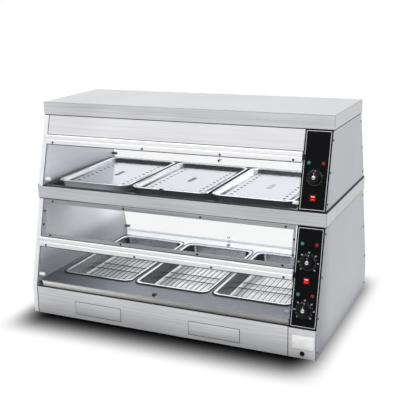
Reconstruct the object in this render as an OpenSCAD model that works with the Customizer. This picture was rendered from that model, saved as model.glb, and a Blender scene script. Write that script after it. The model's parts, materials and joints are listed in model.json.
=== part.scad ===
// Hot food display case: two heated tiers with sloping glass flaps in front and behind,
// three food pans below, three trays above, and the controls in a pillar at the right.
// Millimetres, +Z up. The origin is on the floor, midway between the sides and between
// the front and the rear.

/* [Case] */
// Depth of the case at the kick
base_d = 750; // [740:1:800]
// Depth of the middle slab
shelf_d = 568; // [560:1:620]
// Depth of the top cap
roof_d = 406; // [380:1:440]
// Height of the rubber feet
foot_h = 10; // [8:1:25]
// Height of the kick below the lower tier
kick_h = 112; // [110:1:140]
// Height of the lower tier between the kick and the middle slab
lower_h = 350; // [335:1:400]
// Height of the middle slab and of the top cap
slab_h = 50; // [46:1:70]
// Height of the upper tier between the middle slab and the top cap
upper_h = 278; // [265:1:320]
// Reach of the slab and the cap past the cheeks
slab_lip = 4; // [3:0.5:10]
// Thickness of the sheet metal
sheet_t = 1.5; // [1:0.1:2]
// Thickness of the left wall and of a cheek
wall_t = 22; // [18:1:30]
// Width of the control pillar at the right
pillar_w = 100; // [94:1:130]
// Width of the return round the edge of a right-hand cheek
return_w = 14; // [10:1:15]

/* [Food pans] */
// Width of a food pan over its rim
pan_w = 325; // [310:1:340]
// Length of a food pan over its rim
pan_l = 530; // [480:1:540]
// Depth of a food pan below its rim
pan_h = 65; // [50:1:75]
// Width of the rim of a food pan
pan_rim = 12; // [10:1:16]
// Corner radius of a food pan's rim
pan_r = 28; // [22:1:40]
// Sheet of the food pans and the trays
pan_t = 1; // [0.8:0.1:1.5]
// Gap between neighbouring pans
pan_gap = 14; // [10:1:24]
// Room between the outer pans and the walls
end_gap = 33.5; // [28:0.5:50]
// Distance of the pans' middle behind the middle of the case
pan_back = 22; // [0:1:30]
// Diameter of the rack wires
wire_d = 3; // [2.5:0.5:4]
// Spacing of the long rack wires
wire_pitch = 23; // [16:1:30]
// Height of the long rack wires above the pan's floor
rack_h = 8; // [6:1:14]

/* [Trays] */
// Width of a tray over its rim
tray_w = 325; // [290:1:330]
// Length of a tray over its rim
tray_l = 460; // [400:1:470]
// Height of a tray
tray_h = 35; // [26:1:45]
// Width of the rim of a tray
tray_rim = 9; // [7:1:12]
// Corner radius of a tray's rim
tray_r = 38; // [26:1:45]
// Distance of the trays' middle in front of the middle of the case
tray_fore = 5; // [0:1:10]
// Sink of the upper deck below the top of the middle slab
deck_sink = 18; // [12:1:22]
// Height of the perforated insert above the tray's floor
insert_h = 21; // [12:1:24]
// Radius of the holes in the insert
insert_hole_r = 3.5; // [2:0.5:5]

/* [Lower deck] */
// Height of the lower deck above the kick
deck_rise = 21; // [18:1:28]
// Height of the ridge along the front and rear edges of the deck
ridge_h = 5; // [4:0.5:8]
// Depth of the pan well below the deck
well_h = 104; // [95:1:108]

/* [Flaps] */
// Thickness of the flap glass
glass_t = 5; // [4:0.5:6]
// Height of the upper hinge line above the middle slab
upper_hinge_z = 183; // [170:1:195]
// Height of the lower hinge line above the kick
lower_hinge_z = 181; // [165:1:195]
// Height of the fixed half of a hinge rail
rail_top_h = 17; // [14:1:24]
// Height of the swinging half of a hinge rail
rail_low_h = 19.5; // [18:0.5:26]
// Radius of the hinge knuckle
knuckle_r = 4.5; // [4:0.25:6]
// Radius of the hinge pin
pin_r = 2.5; // [2:0.1:3]
// Radial running clearance of the hinge pin
pin_fit = 0.05; // [0.02:0.01:0.1]
// Radius of a flap pull
pull_r = 7; // [5:0.5:10]
// Radius of a flap rest
rest_r = 6.5; // [5:0.5:9]

/* [Window] */
// Border of the window frame
frame_border = 15; // [12:1:20]
// Thickness of the window pane
pane_t = 4; // [3:0.5:6]

/* [Controls] */
// Thickness of a control panel
panel_t = 2; // [1.5:0.25:3]
// Radius of a thermostat knob
knob_r = 28; // [20:0.5:32]
// Height of a thermostat knob
knob_h = 18; // [14:0.5:24]
// Radius of a thermostat shaft
shaft_r = 3; // [2.5:0.1:4]
// Radius of the bezel of an indicator lamp
lamp_r = 8.5; // [6:0.25:10]
// Distance between the two lamps of a pair
lamp_pitch = 52; // [44:1:56]
// Width of a rocker switch
rocker_w = 26; // [20:0.5:32]
// Height of a rocker switch
rocker_l = 28; // [24:0.5:32]
// Height of the upper lamps above the middle slab
upper_lamp_z = 164; // [158:1:172]
// Height of the upper knob above the middle slab
upper_knob_z = 115; // [110:1:118]
// Height of the upper switch above the middle slab
upper_rocker_z = 48; // [40:1:56]
// Height of the lamps of the pan heating above the kick
pan_lamp_z = 116; // [108:1:124]
// Height of the lamps of the air heating above the kick
air_lamp_z = 289; // [280:1:300]
// Height of the knob of the pan heating above the kick
pan_knob_z = 64; // [50:1:70]
// Height of the knob of the air heating above the kick
air_knob_z = 227; // [215:1:240]
// Height of the lower switch above the kick
lower_rocker_z = 165; // [160:1:170]

/* [Hidden] */
$fn = 48;

// Colours
steel = [0.74, 0.75, 0.77];
bright = [0.88, 0.89, 0.91];
dark_steel = [0.45, 0.46, 0.5];
black = [0.08, 0.08, 0.09];
white = [0.95, 0.95, 0.94];
red = [0.85, 0.08, 0.08];
clear_glass = [0.8, 0.88, 0.9, 0.35];

// General gaps
gap = 0.3;
touch = 0.05;
reveal = 0.5;
hole_fit = 0.2;

// Widths, from the three pans side by side
bay_w = max(pan_w, tray_w);
bay_pitch = bay_w + pan_gap;
open_w = 3 * bay_w + 2 * pan_gap + 2 * end_gap;
body_w = open_w + wall_t + pillar_w;
side_x = body_w / 2;
slab_x = side_x + slab_lip;
x_left = -side_x + wall_t;
x_right = side_x - pillar_w;
open_x = (x_left + x_right) / 2;
pillar_x = (x_right + side_x) / 2;
bays = [open_x - bay_pitch, open_x, open_x + bay_pitch];

// Heights
frame_drop = 3;
ceiling_gap = 2;
z_base = foot_h;
z_kick = z_base + kick_h;
z_ceil = z_kick + lower_h;
z_shelf = z_ceil + slab_h;
z_roof = z_shelf + upper_h;
z_deck = z_kick + deck_rise;
z_ridge = z_deck + ridge_h;
z_well = z_deck - sheet_t - well_h;
z_tray = z_shelf - deck_sink;
z_lower_hinge = z_kick + lower_hinge_z;
z_upper_hinge = z_shelf + upper_hinge_z;
z_lower_rail_top = z_lower_hinge + rail_top_h;
z_upper_rail_top = z_upper_hinge + rail_top_h;
z_frame_top = z_ceil - frame_drop;
z_upper_ceiling = z_upper_rail_top + ceiling_gap;
z_lower_ceiling = z_ceil + sheet_t;

// Slopes of the two tiers, from upright
lower_tilt = atan((base_d - shelf_d) / 2 / lower_h);
upper_tilt = atan((shelf_d - roof_d) / 2 / upper_h);
kick_y = base_d / 2 - sheet_t;
z_bend = z_kick + sheet_t / tan(lower_tilt);

// Hinge geometry in the plane of a slope: s runs up the slope from the hinge line, v outwards
hinge_s = -knuckle_r - reveal;
hinge_v = knuckle_r;
rail_v = 2 * knuckle_r;
rail_back_v = -6;
glass_in = 3;
glass_face_v = 1.5;
glass_v = glass_face_v - glass_t;
glass_s = hinge_s - knuckle_r + reveal;
rail_low_s = -rail_low_h;
rail_shift = 1;
rail_left_x = x_left - rail_shift;
rail_right_x = x_right - rail_shift;
upper_glass_gap = 4;
lower_glass_gap = 3;
upper_pull_up = 22;
lower_pull_up = 10;
upper_rest_up = 28;
lower_rest_up = 50;
rest_l = 24;
upper_glass_z = z_shelf + upper_glass_gap;
lower_glass_z = z_ridge + lower_glass_gap;
upper_pull_z = upper_glass_z + upper_pull_up;
lower_pull_z = lower_glass_z + lower_pull_up;
upper_rest_z = z_shelf + upper_rest_up;
lower_rest_z = z_kick + lower_rest_up;
cap_l = 13;
cap_left_l = 4;
pin_l = 9;
pin_bore_l = 11;
cap_gap = 2;
cap_up = 8;
rail_screw_x = [for (f = [0.03, 0.41, 0.71, 0.97]) x_left + f * open_w];

// Small fasteners
screw_r = 2;
head_r = 4.2;
head_h = 1.8;
screw_past = 3;
frame_screw_past = 0.8;
side_screw_in = 11;
upper_screw_z = [for (f = [0.1, 0.48, 0.87]) z_shelf + f * upper_h];
lower_screw_z = [for (f = [0.11, 0.51, 0.93]) z_kick + f * lower_h];
kick_screw_up = 24;
kick_screw_z = z_base + kick_screw_up;

// Kick fittings
flange_w = 24;
terminal_up = 18;
terminal_z = z_base + terminal_up;
terminal_r = 3;
terminal_in = 10;
washer_h = 1.5;
nut_h = 4;
fitting_out = 12;
gland_up = 55;
gland_z = z_base + gland_up;
gland_r = 10;
gland_in = 14;
gland_flat = 4;
gland_nut_h = 5;
gland_taper = 2;
cable_r = 5;
foot_r = 20;
foot_taper = 3;
foot_in = 60;
stud_r = 4;
stud_l = 8;
louvre_l = 60;
louvre_w = 5;
louvre_pitch = 84;
louvre_rise = 12;

// Heights on the slopes
function lower_y(z) = -base_d / 2 + (z - z_kick) * tan(lower_tilt);
function upper_y(z) = -shelf_d / 2 + (z - z_shelf) * tan(upper_tilt);
function lower_s(z, from) = (z - from) / cos(lower_tilt);
function upper_s(z, from) = (z - from) / cos(upper_tilt);

// Outline moved inwards by d, for a convex outline that runs counter-clockwise
function unit(v) = v / norm(v);
function left_of(v) = [-v[1], v[0]];
function inset(p, d) = [for (i = [0 : len(p) - 1])
    let (before = left_of(unit(p[i] - p[(i + len(p) - 1) % len(p)])),
         after = left_of(unit(p[(i + 1) % len(p)] - p[i])))
    p[i] + d * (before + after) / (1 + before * after)];

// Side outlines of the tiers, as depth and height
lower_outline = [[-kick_y, z_base], [kick_y, z_base], [kick_y, z_bend], [shelf_d / 2, z_ceil],
    [-shelf_d / 2, z_ceil], [-kick_y, z_bend]];
upper_outline = [[-shelf_d / 2, z_shelf], [shelf_d / 2, z_shelf], [roof_d / 2, z_roof],
    [-roof_d / 2, z_roof]];

// Lower outline above the base plate, for the liner that stands on it
standing_outline = [for (p = lower_outline) [p[0], max(p[1], z_base + sheet_t)]];

// A flat outline given as depth and height, drawn from x = a to x = b
module along_x(a, b) {
    translate([a, 0, 0])
        rotate([90, 0, 90])
            linear_extrude(b - a)
                children();
}

// Frames on the slopes: x stays, y runs up the slope, z points outwards
module on_lower(z) {
    translate([0, lower_y(z), z])
        rotate([90 - lower_tilt, 0, 0])
            children();
}

module on_upper(z) {
    translate([0, upper_y(z), z])
        rotate([90 - upper_tilt, 0, 0])
            children();
}

module front_and_rear() {
    children();
    mirror([0, 1, 0])
        children();
}

module box(low, high) {
    translate(low)
        cube(high - low);
}

module round_rect(w, l, r) {
    square([w - 2 * r, l], center = true);
    square([w, l - 2 * r], center = true);
    for (x = [-1, 1], y = [-1, 1])
        translate([x * (w / 2 - r), y * (l / 2 - r)])
            circle(r);
}

// Long hole along y
module oblong(l, w) {
    square([w, l - w], center = true);
    for (y = [-1, 1])
        translate([0, y * (l - w) / 2])
            circle(w / 2);
}

// Screw whose head stands on z = 0 and whose shank goes down
module screw(shank) {
    rotate_extrude()
        polygon([[0, -shank], [screw_r, -shank], [screw_r, 0], [head_r, 0], [head_r, head_h * 0.4],
            [head_r * 0.6, head_h], [0, head_h]]);
}

// Base and kick

module foot_places() {
    for (x = [-1, 1], y = [-1, 1])
        translate([x * (side_x - foot_in), y * (base_d / 2 - foot_in), 0])
            children();
}

module base_plate() {
    color(steel)
        difference() {
            box([x_left, -kick_y, z_base], [side_x - return_w, kick_y, z_base + sheet_t]);
            foot_places()
                translate([0, 0, z_base - 1])
                    cylinder(r = stud_r + hole_fit, h = sheet_t + 2);
        }
}

module feet() {
    color(black)
        foot_places() {
            cylinder(r1 = foot_r - foot_taper, r2 = foot_r, h = foot_h);
            cylinder(r = stud_r, h = foot_h + sheet_t + stud_l);
        }
}

// Channel of the kick: a front sheet with a flange at the top and one on the base plate
module kick_channel(a, b) {
    f = -base_d / 2;
    t = sheet_t;
    along_x(a, b)
        polygon([[f, z_base], [f + t, z_base], [f + t, z_base + t], [f + flange_w, z_base + t],
            [f + flange_w, z_base + 2 * t], [f + t, z_base + 2 * t], [f + t, z_kick - t],
            [f + flange_w, z_kick - t], [f + flange_w, z_kick], [f, z_kick]]);
}

module front_kick() {
    color(steel)
        kick_channel(x_left, x_right - 2 * sheet_t);
}

module rear_kick() {
    color(steel)
        difference() {
            mirror([0, 1, 0])
                union() {
                    kick_channel(x_left, x_right - 2 * sheet_t);
                    box([x_left, -base_d / 2, z_base], [side_x, -kick_y, z_kick]);
                }
            translate([pillar_x, kick_y - 1, gland_z])
                rotate([-90, 0, 0])
                    cylinder(r = gland_r + hole_fit, h = sheet_t + 2);
            for (i = [-3 : 3], z = [-1, 1])
                translate([open_x + i * louvre_pitch, kick_y - 1, z_base + kick_h / 2 + z * louvre_rise])
                    rotate([-90, 0, 0])
                        linear_extrude(sheet_t + 2)
                            rotate(90)
                                oblong(louvre_l, louvre_w);
        }
}

module control_kick() {
    color(steel)
        difference() {
            box([x_right - 2 * sheet_t + reveal, -base_d / 2, z_base], [side_x, -kick_y, z_kick - 1]);
            translate([pillar_x, 1 - kick_y, terminal_z])
                rotate([90, 0, 0])
                    cylinder(r = terminal_r + hole_fit, h = sheet_t + 2);
        }
}

module bonding_terminal() {
    color(black)
        translate([pillar_x, -base_d / 2, terminal_z])
            rotate([90, 0, 0]) {
                cylinder(r = 3 * terminal_r, h = washer_h);
                cylinder(r = 2 * terminal_r, h = washer_h + nut_h, $fn = 6);
                translate([0, 0, -terminal_in])
                    cylinder(r = terminal_r, h = terminal_in + fitting_out);
            }
}

module cable_gland() {
    color(black)
        translate([pillar_x, base_d / 2, gland_z])
            rotate([-90, 0, 0])
                difference() {
                    union() {
                        cylinder(r = gland_r + gland_flat, h = gland_nut_h, $fn = 6);
                        cylinder(r1 = gland_r + 1, r2 = gland_r - gland_taper, h = fitting_out);
                        translate([0, 0, -gland_in])
                            cylinder(r = gland_r, h = gland_in + 1);
                    }
                    translate([0, 0, -gland_in - 1])
                        cylinder(r = cable_r, h = gland_in + fitting_out + 2);
                }
}

// Cheeks and liners

// Shell of a cheek: outer sheet with a return all round, open towards the inside
module cheek(outline, depth) {
    difference() {
        along_x(side_x - depth, side_x)
            polygon(outline);
        along_x(side_x - depth - 1, side_x - sheet_t)
            polygon(inset(outline, sheet_t));
    }
}

module edge_screw_places() {
    for (z = upper_screw_z)
        translate([side_x, upper_y(z) + side_screw_in, z])
            rotate([0, 90, 0])
                children();
    lower_cheek_screw_places()
        children();
}

module lower_cheek_screw_places() {
    for (z = lower_screw_z)
        translate([side_x, lower_y(z) + side_screw_in, z])
            rotate([0, 90, 0])
                children();
    translate([side_x, side_screw_in - kick_y, kick_screw_z])
        rotate([0, 90, 0])
            children();
}

module screw_hole() {
    translate([0, 0, -2 * sheet_t])
        cylinder(r = screw_r + hole_fit, h = 3 * sheet_t);
}

module drilled_cheek(outline, depth) {
    difference() {
        cheek(outline, depth);
        front_and_rear()
            edge_screw_places()
                screw_hole();
    }
}

module lower_left_panel() {
    color(steel)
        mirror([1, 0, 0])
            drilled_cheek(lower_outline, wall_t - sheet_t);
}

module lower_right_panel() {
    color(steel)
        drilled_cheek(lower_outline, return_w);
}

module upper_left_panel() {
    color(steel)
        mirror([1, 0, 0])
            drilled_cheek(upper_outline, wall_t - sheet_t);
}

module upper_right_panel() {
    color(steel)
        drilled_cheek(upper_outline, return_w);
}

module left_liners() {
    color(steel)
        along_x(x_left - sheet_t, x_left) {
            polygon(lower_outline);
            polygon(upper_outline);
        }
}

module right_liners() {
    color(steel)
        along_x(x_right, x_right + sheet_t) {
            polygon(standing_outline);
            polygon(upper_outline);
        }
}

// Lower deck, pans and racks

pan_body_w = pan_w - 2 * pan_rim;
pan_body_l = pan_l - 2 * pan_rim;
pan_cut = 2;
cut_w = pan_body_w + 2 * pan_cut;
cut_l = pan_body_l + 2 * pan_cut;
z_bar = z_deck - sheet_t - gap;
ridge_y = lower_y(z_ridge);
ridge_w = 2;
ridge_run = 14;
lip_back = 9;
lip_notch = 21;
lip_end = 4;
lip_fold = 0.7;
lip_lap = 1;

// Apron of the deck, with a ridge along its edge and a lip turned down onto the kick
module deck_apron(lip_start, back) {
    box([x_left, ridge_y + ridge_run, z_deck - sheet_t], [x_right, back, z_deck]);
    along_x(lip_start, x_right - lip_end)
        polygon([[ridge_y + ridge_run + lip_lap, z_deck], [ridge_y + ridge_run, z_deck],
            [ridge_y + ridge_w, z_ridge], [ridge_y, z_ridge], [ridge_y + lip_back, z_kick],
            [ridge_y + lip_back + sheet_t, z_kick], [ridge_y + ridge_w, z_ridge - sheet_t - lip_fold],
            [ridge_y + ridge_run, z_deck - sheet_t],
            [ridge_y + ridge_run + lip_lap, z_deck - sheet_t]]);
}

// Bar between two pans, with a flange below that reaches the walls of the well
module deck_bar(a, b) {
    box([a, pan_back - cut_l / 2 + gap, z_bar], [b, pan_back + cut_l / 2 - gap, z_deck]);
    box([a, pan_back - well_y + sheet_t, z_bar - sheet_t], [b, pan_back + well_y - sheet_t, z_bar]);
}

// Two aprons, a strip along each side that lies on the well, and the bars between the pans
module lower_deck() {
    color(dark_steel) {
        deck_apron(x_left + lip_notch, pan_back - cut_l / 2);
        mirror([0, 1, 0])
            deck_apron(x_left + lip_end, -pan_back - cut_l / 2);
        box([x_left, pan_back - cut_l / 2 + gap, z_deck - sheet_t],
            [bays[0] - cut_w / 2, pan_back + cut_l / 2 - gap, z_deck]);
        box([bays[2] + cut_w / 2, pan_back - cut_l / 2 + gap, z_deck - sheet_t],
            [x_right, pan_back + cut_l / 2 - gap, z_deck]);
        for (i = [0, 1])
            deck_bar(bays[i] + cut_w / 2, bays[i + 1] - cut_w / 2);
    }
}

well_in = 12;
well_past = 6;
well_y = pan_l / 2 + well_past;

module pan_well() {
    color(steel)
        difference() {
            box([x_left + well_in, pan_back - well_y, z_well],
                [x_right - well_in, pan_back + well_y, z_deck - sheet_t]);
            box([x_left + well_in + sheet_t, pan_back - well_y + sheet_t, z_well + sheet_t],
                [x_right - well_in - sheet_t, pan_back + well_y - sheet_t, z_deck]);
        }
}

heater_r = 4;
heater_bend = 55;
heater_rise = 10;
pan_heater_in = 55;
tray_heater_in = 45;

// Tubular element: a hairpin on two feet that stand on z = 0
module heater(l) {
    translate([0, 0, heater_rise]) {
        for (x = [-1, 1])
            translate([x * heater_bend, -l / 2 + heater_bend, 0]) {
                rotate([-90, 0, 0])
                    cylinder(r = heater_r, h = l - heater_bend);
                translate([0, l - heater_bend - heater_r, -heater_rise])
                    cylinder(r = heater_r, h = heater_rise);
            }
        translate([0, -l / 2 + heater_bend, 0])
            rotate([0, 0, 180])
                rotate_extrude(angle = 180)
                    translate([heater_bend, 0])
                        circle(heater_r);
    }
}

module heating_elements() {
    color(dark_steel)
        for (x = bays) {
            translate([x, pan_back, z_well + sheet_t])
                heater(pan_l - 2 * pan_heater_in);
            translate([x, -tray_fore, z_lower_ceiling + sheet_t])
                heater(tray_l - 2 * tray_heater_in);
        }
}

// Sheet vessel with its rim's underside on z = 0
module vessel(w, l, h, rim, r) {
    difference() {
        union() {
            linear_extrude(pan_t)
                round_rect(w, l, r);
            translate([0, 0, pan_t - h])
                linear_extrude(h)
                    round_rect(w - 2 * rim, l - 2 * rim, r - rim / 2);
        }
        translate([0, 0, 2 * pan_t - h])
            linear_extrude(h)
                round_rect(w - 2 * rim - 2 * pan_t, l - 2 * rim - 2 * pan_t, r - rim / 2 - pan_t);
    }
}

module pan(x) {
    color(bright)
        translate([x, pan_back, z_deck])
            vessel(pan_w, pan_l, pan_h, pan_rim, pan_r);
}

module pan_left() { pan(bays[0]); }

module pan_middle() { pan(bays[1]); }

module pan_right() { pan(bays[2]); }

rack_in = 9;
rack_w = pan_body_w - 2 * pan_t - 2 * rack_in;
rack_l = pan_body_l - 2 * pan_t - 2 * rack_in;
rack_half = floor((rack_w / 2 - wire_d) / wire_pitch);
rack_cross_d = wire_d + 1;
rack_weld = 0.4;
rack_middle_y = 30;
rack_end = 20;
rack_foot_in = 12;

module rod_y(x, y0, y1, d) {
    translate([x, y0, 0])
        rotate([-90, 0, 0])
            cylinder(d = d, h = y1 - y0);
}

module rod_x(x0, x1, y, d) {
    translate([x0, y, 0])
        rotate([0, 90, 0])
            cylinder(d = d, h = x1 - x0);
}

// Wire rack: long wires welded on cross wires, with two side rails and four feet
module rack(x) {
    drop = (wire_d + rack_cross_d) / 2 - rack_weld;
    color(bright)
        translate([x, pan_back, z_deck + 2 * pan_t - pan_h + rack_h]) {
            for (i = [-rack_half : rack_half])
                rod_y(i * wire_pitch, -rack_l / 2, rack_l / 2, wire_d);
            translate([0, 0, -drop]) {
                for (y = [-rack_l / 2 + rack_end, -rack_middle_y, rack_middle_y, rack_l / 2 - rack_end])
                    rod_x(-rack_w / 2, rack_w / 2, y, rack_cross_d);
                for (i = [-1, 1], y = [-1, 1])
                    translate([i * (rack_w / 2 - rack_foot_in), y * (rack_l / 2 - rack_end), drop - rack_h])
                        cylinder(d = rack_cross_d, h = rack_h - drop);
            }
        }
}

module rack_left() { rack(bays[0]); }

module rack_middle() { rack(bays[1]); }

module rack_right() { rack(bays[2]); }

// Upper deck, trays and inserts

tray_cy = -tray_fore;
deck_flange = 10;
deck_in = 4;
deck_past = 26;
deck_y = tray_l / 2 + tray_fore + deck_past;

module deck_recess(grow, low, high) {
    box([x_left + deck_in + deck_flange - grow, -deck_y - grow, low],
        [x_right - deck_in - deck_flange + grow, deck_y + grow, high]);
}

module upper_deck() {
    color(dark_steel)
        difference() {
            union() {
                deck_recess(0, z_tray - sheet_t, z_shelf + sheet_t);
                deck_recess(deck_flange, z_shelf, z_shelf + sheet_t);
            }
            deck_recess(-sheet_t, z_tray, z_shelf + 2 * sheet_t);
        }
}

module tray(x) {
    color(bright)
        translate([x, tray_cy, z_tray + tray_h - pan_t])
            vessel(tray_w, tray_l, tray_h, tray_rim, tray_r);
}

module tray_left() { tray(bays[0]); }

module tray_middle() { tray(bays[1]); }

module tray_right() { tray(bays[2]); }

insert_side_in = 26;
insert_end_in = 12;
insert_w = tray_w - 2 * tray_rim - 2 * pan_t - 2 * insert_side_in;
insert_l = tray_l - 2 * tray_rim - 2 * pan_t - 2 * insert_end_in;
insert_r = 20;
insert_row = 22;
insert_holes = 12;
insert_end_holes = 9;
insert_slot_l = 74;
insert_slot_w = 20;
insert_slot_r = 3;

// Perforated insert: a plate with a turned-down edge that stands on the tray's floor
module insert(x) {
    row_x = insert_w / 2 - insert_row;
    row_y = insert_l / 2 - insert_row;
    color(white)
        translate([x, tray_cy, z_tray + pan_t])
            difference() {
                linear_extrude(insert_h)
                    round_rect(insert_w, insert_l, insert_r);
                translate([0, 0, -pan_t])
                    linear_extrude(insert_h)
                        round_rect(insert_w - 2 * pan_t, insert_l - 2 * pan_t, insert_r - pan_t);
                for (i = [0 : insert_holes - 1], side = [-1, 1])
                    translate([side * row_x, (2 * i / (insert_holes - 1) - 1) * row_y, 0])
                        cylinder(r = insert_hole_r, h = 2 * insert_h);
                for (i = [1 : insert_end_holes - 2], end = [-1, 1])
                    translate([(2 * i / (insert_end_holes - 1) - 1) * row_x, end * row_y, 0])
                        cylinder(r = insert_hole_r, h = 2 * insert_h);
                linear_extrude(2 * insert_h)
                    round_rect(insert_slot_w, insert_slot_l, insert_slot_r);
            }
}

module insert_left() { insert(bays[0]); }

module insert_middle() { insert(bays[1]); }

module insert_right() { insert(bays[2]); }

// Window of the lower tier

window_left_in = 17;
window_right_in = 13;
frame_right_in = 4;
pane_lap = 2;

module frame_screw_places() {
    low = lower_s(z_lower_rail_top + frame_border * 0.55, z_lower_hinge);
    high = lower_s(z_frame_top - frame_border * 0.5, z_lower_hinge);
    on_lower(z_lower_hinge) {
        for (f = [0.04, 0.345, 0.65, 0.96], s = [low, high])
            translate([x_left + f * open_w, s, 0])
                children();
        for (x = [x_left + window_left_in / 2, x_right - (window_right_in + frame_right_in) / 2],
             f = [0.3, 0.7])
            translate([x, low + f * (high - low), 0])
                children();
    }
}

module window_frames() {
    top = lower_s(z_frame_top, z_lower_hinge);
    low = lower_s(z_lower_rail_top + frame_border, z_lower_hinge);
    color(steel)
        front_and_rear()
            difference() {
                on_lower(z_lower_hinge)
                    difference() {
                        box([x_left + gap, gap, -sheet_t], [x_right - frame_right_in, top, 0]);
                        box([x_left + window_left_in, low, -sheet_t - 1],
                            [x_right - window_right_in, top - frame_border, 1]);
                    }
                frame_screw_places()
                    screw_hole();
            }
}

module window_panes() {
    top = lower_s(z_frame_top, z_lower_hinge) - frame_border;
    low = lower_s(z_lower_rail_top + frame_border, z_lower_hinge);
    color(clear_glass)
        front_and_rear()
            on_lower(z_lower_hinge)
                box([x_left + window_left_in - pane_lap, low - pane_lap, -sheet_t - pane_t],
                    [x_right - window_right_in + pane_lap, top + pane_lap, -sheet_t]);
}

// Hinge rails and flaps

// Section of the fixed half
module rail_top_section(tilt) {
    top = rail_top_h / cos(tilt);
    polygon([[0, 0], [top, 0], [top, rail_v * 0.45], [top - 4, rail_v], [1.5, rail_v],
        [0, rail_v - 1.5]]);
}

// Section of the swinging half, with the slot that grips the glass
module rail_low_section() {
    difference() {
        union() {
            translate([hinge_s, hinge_v])
                circle(knuckle_r);
            polygon([[hinge_s, rail_v], [hinge_s, 0], [hinge_s - 3, rail_back_v],
                [rail_low_s, rail_back_v], [rail_low_s, rail_v - 1.5], [rail_low_s + 1.5, rail_v]]);
        }
        translate([rail_low_s - 1, glass_v])
            square([glass_s - rail_low_s + 1, glass_t]);
    }
}

module hinge_rails() {
    color(bright)
        front_and_rear() {
            on_lower(z_lower_hinge)
                along_x(rail_left_x, rail_right_x)
                    rail_top_section(lower_tilt);
            on_upper(z_upper_hinge)
                along_x(rail_left_x, rail_right_x)
                    rail_top_section(upper_tilt);
        }
}

// Pivots of one flap: a block at the right on the control panel, a plate at the left on the wall
module pivots(right_v) {
    block_s = hinge_s - knuckle_r;
    box([rail_right_x + cap_gap, block_s, right_v],
        [rail_right_x + cap_gap + cap_l, cap_up, rail_v + reveal]);
    box([rail_left_x - reveal - cap_left_l, block_s, 0], [rail_left_x - reveal, cap_up, rail_v]);
    translate([0, hinge_s, hinge_v]) {
        rod_x(rail_right_x + cap_gap - pin_l, rail_right_x + cap_gap + 1, 0, 2 * pin_r);
        rod_x(rail_left_x - reveal - 1, rail_left_x - reveal + pin_l, 0, 2 * pin_r);
    }
}

module hinge_pivots() {
    color(black) {
        on_lower(z_lower_hinge)
            pivots(panel_t);
        on_upper(z_upper_hinge)
            pivots(panel_t);
        mirror([0, 1, 0]) {
            on_lower(z_lower_hinge)
                pivots(sheet_t);
            on_upper(z_upper_hinge)
                pivots(sheet_t);
        }
    }
}

module rests() {
    translate([0, 0, glass_v - rest_r - gap]) {
        rod_x(x_left, x_left + rest_l, 0, 2 * rest_r);
        rod_x(x_right - rest_l, x_right, 0, 2 * rest_r);
    }
}

module flap_rests() {
    color(white)
        front_and_rear() {
            on_lower(lower_rest_z)
                rests();
            on_upper(upper_rest_z)
                rests();
        }
}

pull_h = 12;
pull_stem_r = 2.8;
pull_nut_h = 3;
pull_neck_h = 4;
pull_edge = 2;

// Pull screwed through the glass: the hand side points outwards
module pull() {
    translate([0, 0, glass_v])
        rotate_extrude()
            polygon([[0, -pull_nut_h], [pull_r * 0.8, -pull_nut_h], [pull_r * 0.8, 0],
                [pull_stem_r, 0], [pull_stem_r, glass_t], [pull_r * 0.7, glass_t],
                [pull_r * 0.7, glass_t + pull_neck_h], [pull_r, glass_t + pull_neck_h + pull_edge],
                [pull_r, glass_t + pull_h - pull_edge], [pull_r - pull_edge, glass_t + pull_h],
                [0, glass_t + pull_h]]);
}

rail_screw_s = hinge_s - (rail_v - hinge_v + head_r + gap);
rail_screw_l = 4;
rail_bore_h = 5;

// Swinging rail with its clamp screws and the pull, in the frame of the hinge line
module flap_rail(pull_s) {
    color(bright)
        difference() {
            along_x(rail_left_x, rail_right_x)
                rail_low_section();
            box([rail_left_x - 1, rail_low_s - 1, rail_back_v - 1], [x_left + 2 * gap, hinge_s, gap]);
            for (x = [rail_left_x - 1, rail_right_x + 1 - pin_bore_l])
                translate([0, hinge_s, hinge_v])
                    rod_x(x, x + pin_bore_l, 0, 2 * (pin_r + pin_fit));
            for (x = rail_screw_x)
                translate([x, rail_screw_s, rail_v - rail_bore_h])
                    cylinder(r = screw_r + hole_fit, h = rail_bore_h + 1);
        }
    color(black) {
        for (x = rail_screw_x)
            translate([x, rail_screw_s, rail_v + touch])
                screw(rail_screw_l);
        translate([open_x, pull_s, 0])
            pull();
    }
}

module flap_glass(bottom_s, pull_s) {
    color(clear_glass)
        difference() {
            box([rail_left_x + glass_in, bottom_s, glass_v],
                [rail_right_x - glass_in, glass_s, glass_v + glass_t]);
            translate([open_x, pull_s, glass_v - 1])
                cylinder(r = pull_stem_r + hole_fit, h = glass_t + 2);
        }
}

upper_glass_s = upper_s(upper_glass_z, z_upper_hinge);
lower_glass_s = lower_s(lower_glass_z, z_lower_hinge);
upper_pull_s = upper_s(upper_pull_z, z_upper_hinge);
lower_pull_s = lower_s(lower_pull_z, z_lower_hinge);

module front_upper_flap_rail() { on_upper(z_upper_hinge) flap_rail(upper_pull_s); }

module front_upper_flap_glass() { on_upper(z_upper_hinge) flap_glass(upper_glass_s, upper_pull_s); }

module front_lower_flap_rail() { on_lower(z_lower_hinge) flap_rail(lower_pull_s); }

module front_lower_flap_glass() { on_lower(z_lower_hinge) flap_glass(lower_glass_s, lower_pull_s); }

module rear_upper_flap_rail() { mirror([0, 1, 0]) front_upper_flap_rail(); }

module rear_upper_flap_glass() { mirror([0, 1, 0]) front_upper_flap_glass(); }

module rear_lower_flap_rail() { mirror([0, 1, 0]) front_lower_flap_rail(); }

module rear_lower_flap_glass() { mirror([0, 1, 0]) front_lower_flap_glass(); }

// Slab, cap, ceilings and fascias

flange_short = 2;

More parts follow.
